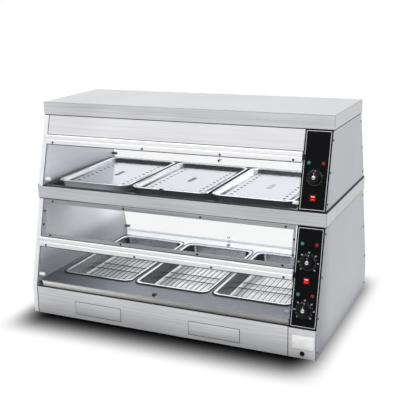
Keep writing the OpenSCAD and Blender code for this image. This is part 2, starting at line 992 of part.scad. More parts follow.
// Box cover, open below inside a narrow flange
module cover(depth, low) {
    flange = wall_t + slab_lip - flange_short;
    difference() {
        box([-slab_x, -depth / 2, low], [slab_x, depth / 2, low + slab_h]);
        box([-slab_x + sheet_t, -depth / 2 + sheet_t, low + sheet_t],
            [slab_x - sheet_t, depth / 2 - sheet_t, low + slab_h - sheet_t]);
        box([-slab_x + flange, -depth / 2 + flange, low - 1],
            [slab_x - flange, depth / 2 - flange, low + 2 * sheet_t]);
    }
}

module middle_slab() {
    color(steel)
        difference() {
            cover(shelf_d, z_ceil);
            deck_recess(gap, z_shelf - 2 * sheet_t, z_shelf + 1);
        }
}

module top_cap() {
    color(bright)
        cover(roof_d, z_roof);
}

module ceiling_panels() {
    upper_half = -upper_y(z_upper_ceiling) - sheet_t - 1;
    color(steel) {
        box([-slab_x + sheet_t, -shelf_d / 2 + sheet_t, z_lower_ceiling],
            [slab_x - sheet_t, shelf_d / 2 - sheet_t, z_lower_ceiling + sheet_t]);
        box([x_left, -upper_half, z_upper_ceiling], [x_right, upper_half, z_upper_ceiling + sheet_t]);
    }
}

module fascias() {
    color(bright)
        front_and_rear()
            on_upper(z_upper_hinge)
                box([x_left + gap, gap, -sheet_t],
                    [x_right - gap, upper_s(z_roof - reveal, z_upper_hinge), 0]);
}

// Heat lamps

tube_r = 5;
tube_drop = 22;
tube_in = 70;
holder_w = 22;
holder_past = 4;
upper_tube_y = 80;
lower_tube_y = 120;

module lamp_places() {
    for (y = [-1, 1]) {
        translate([0, y * upper_tube_y, z_upper_ceiling])
            children();
        translate([0, y * lower_tube_y, z_lower_ceiling])
            children();
    }
}

module heat_lamps() {
    color(white)
        lamp_places()
            translate([0, 0, -tube_drop])
                rod_x(x_left + tube_in, x_right - tube_in, 0, 2 * tube_r);
}

module lamp_holders() {
    color(white)
        lamp_places()
            difference() {
                for (x = [x_left + tube_in, x_right - tube_in])
                    translate([x - holder_w / 2, -holder_w / 2, -tube_drop - tube_r - holder_past])
                        cube([holder_w, holder_w, tube_drop + tube_r + holder_past]);
                translate([0, 0, -tube_drop])
                    rod_x(x_left + tube_in - gap, x_right - tube_in + gap, 0, 2 * (tube_r + hole_fit));
            }
}

// Control pillar

upper_panel_gap = 3;
lower_panel_gap = 2;
upper_panel_z = z_shelf + upper_panel_gap;
lower_panel_z = z_kick + lower_panel_gap;
lower_panel_top = z_ceil - lower_panel_gap;
shaft_room = 1;
shaft_hole_r = shaft_r + shaft_room;
lamp_bezel = 1.5;
lamp_body_r = lamp_r - lamp_bezel;
rocker_bezel = 2;
housing_w = rocker_w - 2 * rocker_bezel;
housing_l = rocker_l - 2 * rocker_bezel;
lower_lamp_zs = [pan_lamp_z, air_lamp_z];
lower_knob_zs = [pan_knob_z, air_knob_z];

module lamp_pair() {
    for (x = [-1, 1])
        translate([x * lamp_pitch / 2, 0, panel_t])
            children();
}

module on_pillar_upper(z) {
    on_upper(z_shelf + z)
        translate([pillar_x, 0, 0])
            children();
}

module on_pillar_lower(z) {
    on_lower(z_kick + z)
        translate([pillar_x, 0, 0])
            children();
}

module lamp_hole() {
    translate([0, 0, -2 * panel_t])
        cylinder(r = lamp_body_r + hole_fit, h = 3 * panel_t);
}

module shaft_hole() {
    translate([0, 0, -1])
        cylinder(r = shaft_hole_r, h = panel_t + 2);
}

module rocker_hole() {
    translate([0, 0, panel_t / 2])
        cube([housing_w + 2 * gap, housing_l + 2 * gap, panel_t + 2], center = true);
}

module upper_control_panel() {
    color(black)
        difference() {
            on_upper(upper_panel_z)
                box([x_right + gap, 0, 0], [side_x, upper_s(z_roof - reveal, upper_panel_z), panel_t]);
            on_pillar_upper(upper_lamp_z)
                lamp_pair()
                    lamp_hole();
            on_pillar_upper(upper_knob_z)
                shaft_hole();
            on_pillar_upper(upper_rocker_z)
                rocker_hole();
        }
}

module lower_control_panel() {
    color(black)
        difference() {
            on_lower(lower_panel_z)
                box([x_right + gap, 0, 0], [side_x, lower_s(lower_panel_top, lower_panel_z), panel_t]);
            for (z = lower_lamp_zs)
                on_pillar_lower(z)
                    lamp_pair()
                        lamp_hole();
            for (z = lower_knob_zs)
                on_pillar_lower(z)
                    shaft_hole();
            on_pillar_lower(lower_rocker_z)
                rocker_hole();
        }
}

vent_l = 60;
vent_w = 4;
vent_count = 8;
lower_vent_up = 217;
upper_vent_up = 56;

module vents() {
    for (i = [0 : vent_count - 1])
        translate([pillar_x, i * 3 * vent_w, -1])
            linear_extrude(sheet_t + 2)
                rotate(90)
                    oblong(vent_l, vent_w);
}

module pillar_backs() {
    color(steel)
        mirror([0, 1, 0]) {
            on_lower(lower_panel_z)
                difference() {
                    box([x_right, 0, 0], [side_x, lower_s(lower_panel_top, lower_panel_z), sheet_t]);
                    translate([0, lower_vent_up, 0])
                        vents();
                }
            on_upper(upper_panel_z)
                difference() {
                    box([x_right, 0, 0], [side_x, upper_s(z_roof - reveal, upper_panel_z), sheet_t]);
                    translate([0, upper_vent_up, 0])
                        vents();
                }
        }
}

lamp_in = 14;
lamp_bezel_h = 2;
lens_h = 4.4;

// Lamp with its bezel on z = 0, its lens above and its body below
module lamp() {
    rotate_extrude()
        polygon([[0, -lamp_in], [lamp_body_r - 1, -lamp_in], [lamp_body_r - 1, -panel_t - 2],
            [lamp_body_r, -panel_t - 2], [lamp_body_r, 0], [lamp_r, 0], [lamp_r, lamp_bezel_h * 0.6],
            [lamp_body_r, lamp_bezel_h], [lamp_body_r * 0.8, lamp_bezel_h + lens_h * 0.57],
            [lamp_body_r * 0.4, lamp_bezel_h + lens_h * 0.9], [0, lamp_bezel_h + lens_h]]);
}

module indicator_lamps() {
    color("teal") {
        on_pillar_upper(upper_lamp_z)
            lamp_pair()
                lamp();
        for (z = lower_lamp_zs)
            on_pillar_lower(z)
                lamp_pair()
                    lamp();
    }
}

thermostat_w = 44;
thermostat_h = 26;
thermostat_floor = 6;
shaft_gap = 2;

module thermostat() {
    difference() {
        translate([-thermostat_w / 2, -thermostat_w / 2, -thermostat_h])
            cube([thermostat_w, thermostat_w, thermostat_h]);
        translate([0, 0, -thermostat_h + thermostat_floor])
            cylinder(r = shaft_r + pin_fit, h = thermostat_h);
    }
}

module thermostats() {
    color(dark_steel) {
        on_pillar_upper(upper_knob_z)
            thermostat();
        for (z = lower_knob_zs)
            on_pillar_lower(z)
                thermostat();
    }
}

knob_gap = 1.2;
skirt_h = 4;
grip_r = knob_r * 0.72;
pointer_w = 2.2;
pointer_h = 0.8;
flutes = 20;
flute_r = 2;
flute_out = 1.2;
flute_up = 1.5;
top_step = 2;

// Knob on its shaft: skirt, fluted grip and a raised pointer
module knob() {
    color(black)
        translate([0, 0, panel_t + knob_gap])
            difference() {
                union() {
                    cylinder(r = knob_r, h = skirt_h);
                    cylinder(r = grip_r, h = knob_h - top_step);
                    cylinder(r = grip_r - top_step, h = knob_h);
                    translate([-pointer_w / 2, grip_r * 0.35, 0])
                        cube([pointer_w, knob_r * 0.95 - grip_r * 0.35, skirt_h + pointer_h]);
                    translate([0, 0, shaft_gap + thermostat_floor - thermostat_h - panel_t - knob_gap])
                        cylinder(r = shaft_r, h = thermostat_h + panel_t + knob_gap);
                }
                for (i = [0 : flutes - 1])
                    rotate(i * 360 / flutes + 180 / flutes)
                        translate([grip_r + flute_out, 0, skirt_h + flute_up])
                            cylinder(r = flute_r, h = knob_h);
            }
}

module upper_thermostat_knob() { on_pillar_upper(upper_knob_z) knob(); }

module pan_thermostat_knob() { on_pillar_lower(pan_knob_z) knob(); }

module air_thermostat_knob() { on_pillar_lower(air_knob_z) knob(); }

bezel_h = 3;
housing_h = 22;
housing_wall = 1.6;
housing_well = 9;
rocker_up = 1.5;
rocker_v = panel_t + rocker_up;
rocker_play = 0.7;
rocker_rise = 3.4;
rocker_dip = 1.8;
rocker_keel = 5;
rocker_keel_w = 8;
rocker_tilt = 7;
rocker_pin_r = 1;
rocker_pin_in = 1.5;

well_w = housing_w - 2 * housing_wall;
well_l = housing_l - 2 * housing_wall;
rocker_pin_x = well_w / 2 + rocker_pin_in;

module rocker_housing() {
    difference() {
        union() {
            translate([-rocker_w / 2, -rocker_l / 2, panel_t])
                cube([rocker_w, rocker_l, bezel_h]);
            translate([-housing_w / 2, -housing_l / 2, panel_t - housing_h])
                cube([housing_w, housing_l, housing_h]);
        }
        translate([-well_w / 2, -well_l / 2, panel_t - housing_well])
            cube([well_w, well_l, housing_well + bezel_h + 1]);
        translate([0, 0, rocker_v])
            rod_x(-rocker_pin_x - gap, rocker_pin_x + gap, 0, 2 * (rocker_pin_r + pin_fit));
    }
}

module rocker_housings() {
    color(black) {
        on_pillar_upper(upper_rocker_z)
            rocker_housing();
        on_pillar_lower(lower_rocker_z)
            rocker_housing();
    }
}

// Rocker tipped about its pins, with its lower half pressed in
module rocker() {
    half = well_l / 2 - rocker_play;
    wide = well_w - 2 * gap;
    keel = rocker_keel_w / 2;
    color(red)
        translate([0, 0, rocker_v])
            rotate([rocker_tilt, 0, 0]) {
                along_x(-wide / 2, wide / 2)
                    polygon([[-half, -1], [-keel, -rocker_keel], [keel, -rocker_keel], [half, -1],
                        [half, rocker_rise], [0, rocker_dip], [-half, rocker_rise]]);
                rod_x(-rocker_pin_x, rocker_pin_x, 0, 2 * rocker_pin_r);
            }
}

module upper_rocker() { on_pillar_upper(upper_rocker_z) rocker(); }

module lower_rocker() { on_pillar_lower(lower_rocker_z) rocker(); }

// Screws of the cheeks and of the window frames

module casing_screws() {
    color(black)
        front_and_rear() {
            edge_screw_places()
                screw(sheet_t + screw_past);
            mirror([1, 0, 0])
                edge_screw_places()
                    screw(sheet_t + screw_past);
            frame_screw_places()
                screw(sheet_t + frame_screw_past);
        }
}

base_plate();
feet();
front_kick();
rear_kick();
control_kick();
bonding_terminal();
cable_gland();
lower_left_panel();
lower_right_panel();
left_liners();
right_liners();
lower_deck();
pan_well();
heating_elements();
window_frames();
window_panes();
hinge_rails();
hinge_pivots();
flap_rests();
middle_slab();
ceiling_panels();
upper_deck();
upper_left_panel();
upper_right_panel();
fascias();
top_cap();
heat_lamps();
lamp_holders();
upper_control_panel();
lower_control_panel();
pillar_backs();
indicator_lamps();
thermostats();
rocker_housings();
casing_screws();
front_upper_flap_rail();
front_upper_flap_glass();
front_lower_flap_rail();
front_lower_flap_glass();
rear_upper_flap_rail();
rear_upper_flap_glass();
rear_lower_flap_rail();
rear_lower_flap_glass();
upper_thermostat_knob();
pan_thermostat_knob();
air_thermostat_knob();
upper_rocker();
lower_rocker();
tray_left();
tray_middle();
tray_right();
insert_left();
insert_middle();
insert_right();
pan_left();
pan_middle();
pan_right();
rack_left();
rack_middle();
rack_right();
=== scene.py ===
"""Looks of the hot food display case: materials, pans, glass and dials around its fixed frame.

Lengths are in metres, and MM turns millimetres into them. X runs to the right along the case, Y to
the rear and Z up, as in the frame.
"""

import json
from math import cos, pi, radians, sin

import bmesh
import bpy
from mathutils import Matrix, Vector

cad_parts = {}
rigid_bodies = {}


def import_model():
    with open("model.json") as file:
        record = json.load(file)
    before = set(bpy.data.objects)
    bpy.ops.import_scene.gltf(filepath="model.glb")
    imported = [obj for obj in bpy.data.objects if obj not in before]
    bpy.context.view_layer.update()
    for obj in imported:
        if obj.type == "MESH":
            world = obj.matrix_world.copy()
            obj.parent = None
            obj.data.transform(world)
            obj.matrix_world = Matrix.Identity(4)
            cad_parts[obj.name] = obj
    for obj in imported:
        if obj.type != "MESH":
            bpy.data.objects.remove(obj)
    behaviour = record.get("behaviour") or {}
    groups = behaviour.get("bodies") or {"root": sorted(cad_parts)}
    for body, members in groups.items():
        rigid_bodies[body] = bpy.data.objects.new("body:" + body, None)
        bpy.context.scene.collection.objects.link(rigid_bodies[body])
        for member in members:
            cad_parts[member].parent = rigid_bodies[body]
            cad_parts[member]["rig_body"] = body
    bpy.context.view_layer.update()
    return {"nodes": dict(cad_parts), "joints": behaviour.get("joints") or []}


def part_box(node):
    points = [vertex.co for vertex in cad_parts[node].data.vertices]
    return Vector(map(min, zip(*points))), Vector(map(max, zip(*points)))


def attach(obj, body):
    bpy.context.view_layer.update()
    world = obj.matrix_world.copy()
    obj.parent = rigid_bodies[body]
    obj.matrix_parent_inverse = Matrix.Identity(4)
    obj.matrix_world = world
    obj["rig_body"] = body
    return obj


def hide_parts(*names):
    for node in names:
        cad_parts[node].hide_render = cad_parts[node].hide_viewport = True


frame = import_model()
NODES = frame["nodes"]
JOINTS = {j["name"]: j for j in frame["joints"]}
SCENE = bpy.context.scene
MM = 0.001
RIGHT, UP = Vector((1, 0, 0)), Vector((0, 0, 1))
shift = Matrix.Translation
BAYS = ("left", "middle", "right")
FLAPS = [f"{side}_{tier}_flap" for side in ("front", "rear") for tier in ("upper", "lower")]

# Camera, fitted to the edges of the case in the photograph, with its yaw, pitch and roll in degrees
LENS, SENSOR = 70.28, 36.0
CAMERA_AT = Vector((1.278, -2.801, 1.289))
CAMERA_TURN = (24.68, 15.37, -1.31)


# Materials

def linear(r, g, b):
    """Screen colour, 0 to 255 each, as the linear colour that a shader takes."""
    def one(c):
        c = c / 255
        return c / 12.92 if c <= 0.04045 else ((c + 0.055) / 1.055) ** 2.4
    return (one(r), one(g), one(b), 1.0)


def shader(name, colour, metallic=0.0, roughness=0.5, **sockets):
    """New material with one Principled shader. Gives the material, its node tree and the shader."""
    material = bpy.data.materials.new(name)
    material.use_nodes = True
    tree = material.node_tree
    surface = tree.nodes["Principled BSDF"]
    surface.inputs["Base Color"].default_value = colour
    surface.inputs["Metallic"].default_value = metallic
    surface.inputs["Roughness"].default_value = roughness
    for socket, value in sockets.items():
        surface.inputs[socket.replace("_", " ")].default_value = value
    return material, tree, surface


def node(tree, kind, inputs=(), **settings):
    """New shader node. A link or a plain value goes to each input that is named or numbered."""
    made = tree.nodes.new("ShaderNode" + kind)
    for key, value in settings.items():
        setattr(made, key, value)
    for key, value in dict(inputs).items():
        if isinstance(value, bpy.types.NodeSocket):
            tree.links.new(value, made.inputs[key])
        else:
            made.inputs[key].default_value = value
    return made


def noise(tree, per_metre, detail=3.0, roughness=0.55):
    """Noise in the object's own metres, with so many waves per metre along x, y and z."""
    place = node(tree, "TexCoord")
    stretched = node(tree, "Mapping", {"Vector": place.outputs["Object"], "Scale": per_metre})
    return node(tree, "TexNoise", {
        "Vector": stretched.outputs["Vector"], "Scale": 1.0, "Detail": detail, "Roughness": roughness,
    }).outputs["Fac"]


def ramp(tree, value, start, stop, low, high, easing="SMOOTHSTEP"):
    """A value that runs from low at the start to high at the stop, eased unless told otherwise."""
    return node(tree, "MapRange", {
        "Value": value, "From Min": start, "From Max": stop, "To Min": low, "To Max": high,
    }, interpolation_type=easing).outputs["Result"]


# Middle range in which most of a noise value lies
NOISE_LOW, NOISE_HIGH = 0.3, 0.7


def spread(tree, value, low, high):
    """A noise value stretched from its usual middle range onto low to high."""
    return ramp(tree, value, NOISE_LOW, NOISE_HIGH, low, high, "LINEAR")


def varied(tree, value, change, middle=1.0):
    """A noise value as a factor round the middle, which it leaves by a share to both sides."""
    return spread(tree, value, middle * (1 - change), middle * (1 + change))


def split_place(tree, kind="Object"):
    """X, Y and Z of the shaded point, in the object's own metres unless another kind is named."""
    place = node(tree, "TexCoord").outputs[kind]
    return node(tree, "SeparateXYZ", {"Vector": place}).outputs


# Name of the tone of painted light and shade that a mesh may carry at its points
PAINTED_LIGHT_TONE = "tone"


def shaded(tree, colour, *factors, with_painted_light=False):
    """The colour times each factor, and times the mesh's tone of painted light and shade if asked."""
    if with_painted_light:
        factors += (node(tree, "Attribute", attribute_name=PAINTED_LIGHT_TONE).outputs["Fac"],)
    for factor in factors:
        grey = node(tree, "CombineColor", {"Red": factor, "Green": factor, "Blue": factor})
        colour = node(tree, "Mix", {
            0: 1.0, 6: colour, 7: grey.outputs["Color"],
        }, data_type="RGBA", blend_type="MULTIPLY").outputs[2]
    return colour


def bumped(tree, surface, height, strength, distance):
    """Lets a height value tilt the surface."""
    bump = node(tree, "Bump", {"Height": height, "Strength": strength, "Distance": distance})
    tree.links.new(bump.outputs["Normal"], surface.inputs["Normal"])


# Waves per metre of brushed metal: fine lines and broad streaks across, both along, and soft clouds
BRUSH_FINE, BRUSH_BROAD, BRUSH_LONG, CLOUDS = 1400.0, 160.0, 7.0, 2.6
# Waves per metre of the patches on plastic, the ribs of a lens and the wipe marks on glass
PATCHES, RIBS, WIPES = 35.0, 420.0, (14.0, 14.0, 60.0)
# Shares by which gloss, the tone of plastic and the tone of a lens change over a surface
GLOSS_CHANGE, PATCH_CHANGE, RIB_CHANGE = 0.15, 0.07, 0.2
# Depth of fine relief, and its strength on brushed metal
RELIEF_DEPTH, BRUSH_RELIEF = 0.1 * MM, 0.12


def brushed(name, colour, roughness, along="x", streak=0.08, cloud=0.05, metallic=1.0,
            with_painted_light=False, painted_shade=None):
    """Brushed sheet metal: lines along one axis in colour, gloss and relief, and soft clouds of tone.

    The colour is that of a screen, as for all materials here. With painted light the metal also follows the
    mesh's tone of painted light and shade. Painted shade, a darker stretch of the colour, gives an axis,
    two places along it and the share of the colour that is left before the first of them.
    """
    colour = linear(*colour)
    material, tree, surface = shader(name, colour, metallic, roughness)
    axis = "xyz".index(along)
    fine = noise(tree, [BRUSH_LONG if i == axis else BRUSH_FINE for i in range(3)], 2.0)
    broad = noise(tree, [BRUSH_LONG / 3 if i == axis else BRUSH_BROAD for i in range(3)], 4.0)
    clouds = noise(tree, [CLOUDS] * 3, 1.0)
    factors = [varied(tree, broad, streak), varied(tree, fine, streak / 2), varied(tree, clouds, cloud)]
    if painted_shade:
        axis_name, start, stop, share = painted_shade
        factors.append(ramp(tree, split_place(tree)[axis_name], start, stop, share, 1.0))
    tree.links.new(shaded(tree, colour, *factors, with_painted_light=with_painted_light), surface.inputs["Base Color"])
    tree.links.new(varied(tree, broad, GLOSS_CHANGE, roughness), surface.inputs["Roughness"])
    bumped(tree, surface, fine, BRUSH_RELIEF, RELIEF_DEPTH)
    return material


def moulded(name, colour, roughness, grain, relief, shine=0.5):
    """Moulded plastic, rubber or paint with a fine grain and slight changes of gloss."""
    colour = linear(*colour)
    material, tree, surface = shader(name, colour, 0.0, roughness, Specular_IOR_Level=shine)
    fine = noise(tree, [grain] * 3, 3.0)
    patches = noise(tree, [PATCHES] * 3, 3.0)
    tone = varied(tree, patches, PATCH_CHANGE)
    tree.links.new(shaded(tree, colour, tone), surface.inputs["Base Color"])
    tree.links.new(varied(tree, patches, GLOSS_CHANGE, roughness), surface.inputs["Roughness"])
    bumped(tree, surface, fine, relief, RELIEF_DEPTH)
    return material


def lens(name, colour, glow, with_painted_light=False):
    """Tinted lens of a lamp or a lit switch: a glossy coat over a glowing, slightly ribbed body."""
    colour = linear(*colour)
    material, tree, surface = shader(
        name, colour, 0.0, 0.2, Specular_IOR_Level=0.2, Coat_Weight=0.25, Coat_Roughness=0.06,
        Emission_Strength=glow)
    ribs = varied(tree, noise(tree, [RIBS] * 3, 2.0), RIB_CHANGE)
    tinted = shaded(tree, colour, ribs, with_painted_light=with_painted_light)
    tree.links.new(tinted, surface.inputs["Base Color"])
    tree.links.new(tinted, surface.inputs["Emission Color"])
    return material


def clear(name, colour, alpha, roughness=0.02):
    """Clear glass seen as a thin tint, with faint wipe marks in its gloss."""
    material, tree, surface = shader(name, linear(*colour), 0.0, roughness, Alpha=alpha, IOR=1.5)
    wipes = noise(tree, WIPES, 4.0)
    tree.links.new(spread(tree, wipes, roughness, roughness * 3), surface.inputs["Roughness"])
    return material


STEEL_CAP = brushed("steel_cap", (213, 214, 217), 0.36, streak=0.13, cloud=0.09)
# Darker copy of the cover steel for faces turned up or to the ends: painted shade by the way a face is
# turned
STEEL_TOP_SHADE = brushed("steel_top_shade", (190, 191, 194), 0.36, streak=0.1)
STEEL_SLAB = brushed("steel_slab", (197, 198, 201), 0.36, streak=0.13, cloud=0.09)
# Dark steel on the rounded folds of the covers: painted shade along the edges
STEEL_EDGE_SHADE = brushed("steel_edge_shade", (72, 73, 78), 0.4)
# Side panels are painted darker towards the front: painted shade
STEEL_SIDE = brushed("steel_side", (177, 179, 184), 0.4, "z", 0.04, 0.03,
                     painted_shade=("Y", -0.36, -0.18, 0.62))
# Lighter copy of the side steel for faces turned to front and rear: painted light
STEEL_CHEEK_LIT = brushed("steel_cheek_lit", (236, 237, 240), 0.42, "z", 0.03, 0.02, metallic=0.3)
STEEL_FASCIA = brushed("steel_fascia", (224, 224, 226), 0.5, streak=0.06, metallic=0.6)
STEEL_KICK = brushed("steel_kick", (210, 211, 214), 0.42, streak=0.13, metallic=0.3)
STEEL_FRAME = brushed("steel_frame", (198, 200, 204), 0.34)
# Liners are painted darker towards the lower deck: painted shade
STEEL_LINER = brushed("steel_liner", (206, 209, 215), 0.5, "y", 0.05, 0.05, 0.2,
                      painted_shade=("Z", 0.2, 0.29, 0.5))
# Lighter copy of the liner steel for the upper tier, painted light, darkened near the upper deck as painted
# shade
STEEL_LINER_UPPER_LIT = brushed("steel_liner_up", (222, 225, 231), 0.5, "y", 0.05, 0.05, 0.5,
                         painted_shade=("Z", 0.52, 0.542, 0.15))
# Deck painted darker towards the front: painted shade and reflection
STEEL_DECK = brushed("steel_deck", (226, 228, 235), 0.16, painted_shade=("Y", -0.22, 0.12, 0.3))
# Darker copy of the deck steel for its front part: painted reflection and shade, a little darker to the
# right
STEEL_DECK_FRONT_SHADE = brushed("steel_deck_front_shade", (116, 119, 128), 0.34, painted_shade=("X", 0.45, -0.45, 0.84))
# Upper deck under the trays painted dark: painted shade
STEEL_TROUGH_SHADE = brushed("steel_trough_shade", (84, 87, 98), 0.26)
# Lighter copy of the deck steel for the lips: painted reflection of the white floor, and darker to the
# right as painted shade
STEEL_LIP_LIT = brushed("steel_lip_lit", (246, 245, 241), 0.34, metallic=0.2, painted_shade=("X", 0.2, -0.55, 0.5))
PAN_STEEL = brushed("pan_steel", (220, 222, 226), 0.13, "y", 0.02, 0.02)
# Pan walls follow their tone of painted shade in corners and at the foot, and of painted highlights beside
# some corners
PAN_WALL = brushed("pan_wall", (204, 206, 211), 0.22, "z", 0.04, 0.04, with_painted_light=True)
# Pan floors painted darker towards the left: painted shade
PAN_FLOOR = brushed("pan_floor", (250, 251, 253), 0.2, "y", 0.02, 0.02, metallic=0.5,
                    painted_shade=("X", -0.55, -0.05, 0.55))
# Tray walls follow their tone of painted shade in corners and at the foot, and of painted highlights beside
# some corners
TRAY_WALL = brushed("tray_wall", (246, 247, 250), 0.16, "z", 0.03, 0.03, 0.2, with_painted_light=True)
# Tray floors painted dark in front: painted shade
TRAY_FLOOR = brushed("tray_floor", (230, 232, 237), 0.2, "y", 0.03, 0.03, 0.5,
                     painted_shade=("Y", -0.16, 0.04, 0.1))
# Outsides of the trays painted dark except at the far left: painted shade in the gaps
TRAY_OUTSIDE = brushed("tray_outside", (244, 246, 250), 0.24, "x", 0.04, 0.04, 0.1,
                       painted_shade=("X", -0.2, -0.34, 0.05))
RAIL = brushed("rail_aluminium", (244, 244, 246), 0.36, "x", 0.02, 0.02, metallic=0.55)
INSERT = brushed("insert_steel", (216, 219, 227), 0.16, "y", 0.02, 0.02)
# Dark sheet under an insert: painted shade that shows through its slot
INSERT_SHADE_SHEET = brushed("insert_shade_sheet", (140, 143, 152), 0.5, "y", metallic=0.3)
# Dark discs for the perforations: painted shade seen through them
INSERT_HOLE_SHADE = moulded("insert_hole_shade", (34, 35, 40), 0.8, 500.0, 0.05, 0.0)
# Rack chrome painted dark, so the wires read as dark lines: painted reflection and shade
WIRE = brushed("wire_chrome", (70, 72, 78), 0.18, "y", 0.03, 0.02)
TURNED = brushed("turned_steel", (214, 216, 220), 0.16, "y", 0.03, 0.02)
# Darker copy of the turned steel for the front pulls: painted reflection of the dark room in front
TURNED_SHADED = brushed("turned_shaded", (74, 76, 82), 0.2, "y", 0.03, 0.02)
SHEATH = brushed("heater_sheath", (96, 92, 90), 0.5, "y", 0.1, 0.12)
PANEL_BLACK = moulded("panel_black", (11, 11, 14), 0.5, 1500.0, 0.06, 0.06)
PLASTIC_BLACK = moulded("plastic_black", (10, 10, 12), 0.26, 700.0, 0.04, 0.3)
KNOB_GLOSS = moulded("knob_gloss", (16, 16, 18), 0.14, 700.0, 0.02, 0.8)
SCREW_BLACK = moulded("screw_black", (12, 12, 14), 0.45, 800.0, 0.1, 0.25)
RUBBER = moulded("foot_rubber", (26, 26, 27), 0.75, 500.0, 0.3)
NYLON = moulded("nylon_white", (240, 240, 238), 0.4, 600.0, 0.08)
# Darker copies of the white nylon for rests behind and low beside the pillar: painted shade
NYLON_REAR_SHADE = moulded("nylon_rear_shade", (84, 85, 90), 0.4, 600.0, 0.08)
NYLON_PILLAR_SHADE = moulded("nylon_pillar_shade", (150, 151, 156), 0.4, 600.0, 0.08)
CERAMIC = moulded("holder_ceramic", (226, 223, 214), 0.35, 300.0, 0.06)
QUARTZ = lens("lamp_quartz", (255, 246, 234), 4.0)
PRINT = moulded("panel_print", (205, 206, 208), 0.5, 900.0, 0.04)
PRINT_DIM = moulded("panel_print_dim", (88, 89, 93), 0.5, 900.0, 0.04)
PLATE_WHITE = moulded("plate_white", (240, 240, 240), 0.35, 500.0, 0.04)
LENS_GREEN = lens("lens_green", (46, 122, 102), 0.1)
LENS_RED = lens("lens_red", (118, 14, 20), 0.1)
# Rockers glow as lit switches, and follow their tone, which darkens their borders partly as painted shade
ROCKER_RED = lens("rocker_red", (214, 18, 28), 0.3, with_painted_light=True)
ROCKER_LIT = lens("rocker_lit", (238, 16, 26), 0.6, with_painted_light=True)
NEON = lens("rocker_neon", (255, 168, 172), 0.8)
GLASS = clear("glass", (150, 160, 165), 0.03)
GLASS_EDGE = clear("glass_edge", (150, 178, 172), 0.62, 0.12)
# Dark grey for strips of painted shade in the joints between sheets and round the kick plates
SEAM_SHADE = moulded("seam_shade", (48, 49, 53), 0.7, 500.0, 0.1, 0.2)
# Black for the gaskets below the swinging rails, partly real and partly painted shadow, and for strips of
# painted shadow under overhangs, on the kick's ledge, below the upper glass and round the pans
GASKET_AND_SHADOW = moulded("gasket_and_shadow_black", (14, 14, 16), 0.65, 500.0, 0.15, 0.2)


# Mesh building

# Roundness of bevelled edges, and the largest radius that counts as on the axis
ROUNDING = 0.6
ON_AXIS = 1e-9


def linked(name, data):
    """New object in the scene."""
    made = bpy.data.objects.new(name, data)
    SCENE.collection.objects.link(made)
    return made


def finish_mesh(shape, name, materials, body, slot=None, sharp=35.0):
    """Turns a bmesh into a piece that rides on a body, with smooth shading up to the sharp angle."""
    mesh = bpy.data.meshes.new(name)
    bmesh.ops.recalc_face_normals(shape, faces=shape.faces)
    shape.to_mesh(mesh)
    shape.free()
    for material in materials:
        mesh.materials.append(material)
    mesh.shade_smooth()
    mesh.set_sharp_from_angle(angle=radians(sharp))
    piece = linked(name, mesh)
    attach(piece, body)
    return piece


def add_box(shape, at, size, place=Matrix(), bevel=0.0, material=0):
    """Box with bevelled edges, centred at a point of the given place.

    Faces have the same order in every run if what isn't bevelled is added to a shape first.
    """
    matrix = place @ shift(at) @ Matrix.Diagonal((*size, 1.0))
    made = bmesh.ops.create_cube(shape, size=1.0, matrix=matrix)
    faces = dict.fromkeys(f for v in made["verts"] for f in v.link_faces)
    if bevel:
        edges = dict.fromkeys(e for f in faces for e in f.edges)
        cut = bmesh.ops.bevel(shape, geom=list(edges), offset=bevel, segments=2, profile=ROUNDING,
                              affect="EDGES")
        faces = [f for f in faces if f.is_valid] + cut["faces"]
    for face in faces:
        face.material_index = material


def add_lathe(shape, profile, place, steps=32, material=0):
    """Solid of revolution about the place's z: the profile lists radius and height from axis to axis."""
    rings = []
    for radius, height in profile:
        if radius < ON_AXIS:
            rings.append([shape.verts.new(place @ Vector((0, 0, height)))])
            continue
        turn = [2 * pi * i / steps for i in range(steps)]
        rings.append([shape.verts.new(place @ Vector((radius * cos(a), radius * sin(a), height)))
                      for a in turn])
    for low, high in zip(rings, rings[1:]):
        for i in range(steps):
            corners = [low[i % len(low)], low[(i + 1) % len(low)],
                       high[(i + 1) % len(high)], high[i % len(high)]]
            corners = list(dict.fromkeys(corners))
            if len(corners) > 2:
                shape.faces.new(corners).material_index = material


# Steps of each corner of a rounded rectangle
CORNER_STEPS = 8


def rounded_ring(half_x, half_y, radius, height, centre):
    """Points of a rounded rectangle, counter-clockwise."""
    points = []
    for quarter in range(4):
        start = quarter * pi / 2
        corner = Vector(((half_x - radius) * (1 if quarter in (0, 3) else -1),
                         (half_y - radius) * (1 if quarter in (0, 1) else -1)))
        for i in range(CORNER_STEPS + 1):
            a = start + i / CORNER_STEPS * pi / 2
            points.append(centre + Vector((corner.x + radius * cos(a),
                                           corner.y + radius * sin(a), height)))
    return points


def bridge(shape, low, high, material=0):
    """Faces between two loops of as many points."""
    for i in range(len(low)):
        j = (i + 1) % len(low)
        shape.faces.new((low[i], low[j], high[j], high[i])).material_index = material


def add_loft(shape, rings, materials):
    """Closed shell through rings of as many points each, capped at both ends. Gives its points in order."""
    loops = [[shape.verts.new(p) for p in ring] for ring in rings]
    for low, high, material in zip(loops, loops[1:], materials):
        bridge(shape, low, high, material)
    shape.faces.new(list(reversed(loops[0]))).material_index = materials[0]
    shape.faces.new(loops[-1]).material_index = materials[-1]
    return [point for loop in loops for point in loop]


def islands(shape):
    """The separate solids of a bmesh, as lists of faces."""
    left = set(shape.faces)
    while left:
        found, todo = set(), [left.pop()]
        while todo:
            face = todo.pop()
            found.add(face)
            near = {f for e in face.edges for f in e.link_faces} & left
            left -= near
            todo.extend(near)
        yield list(found)


# Distance of points that are one, and angles of faces in line and of edges to round
WELD = 0.004 * MM
FLAT = radians(0.5)
SHARP = radians(30)


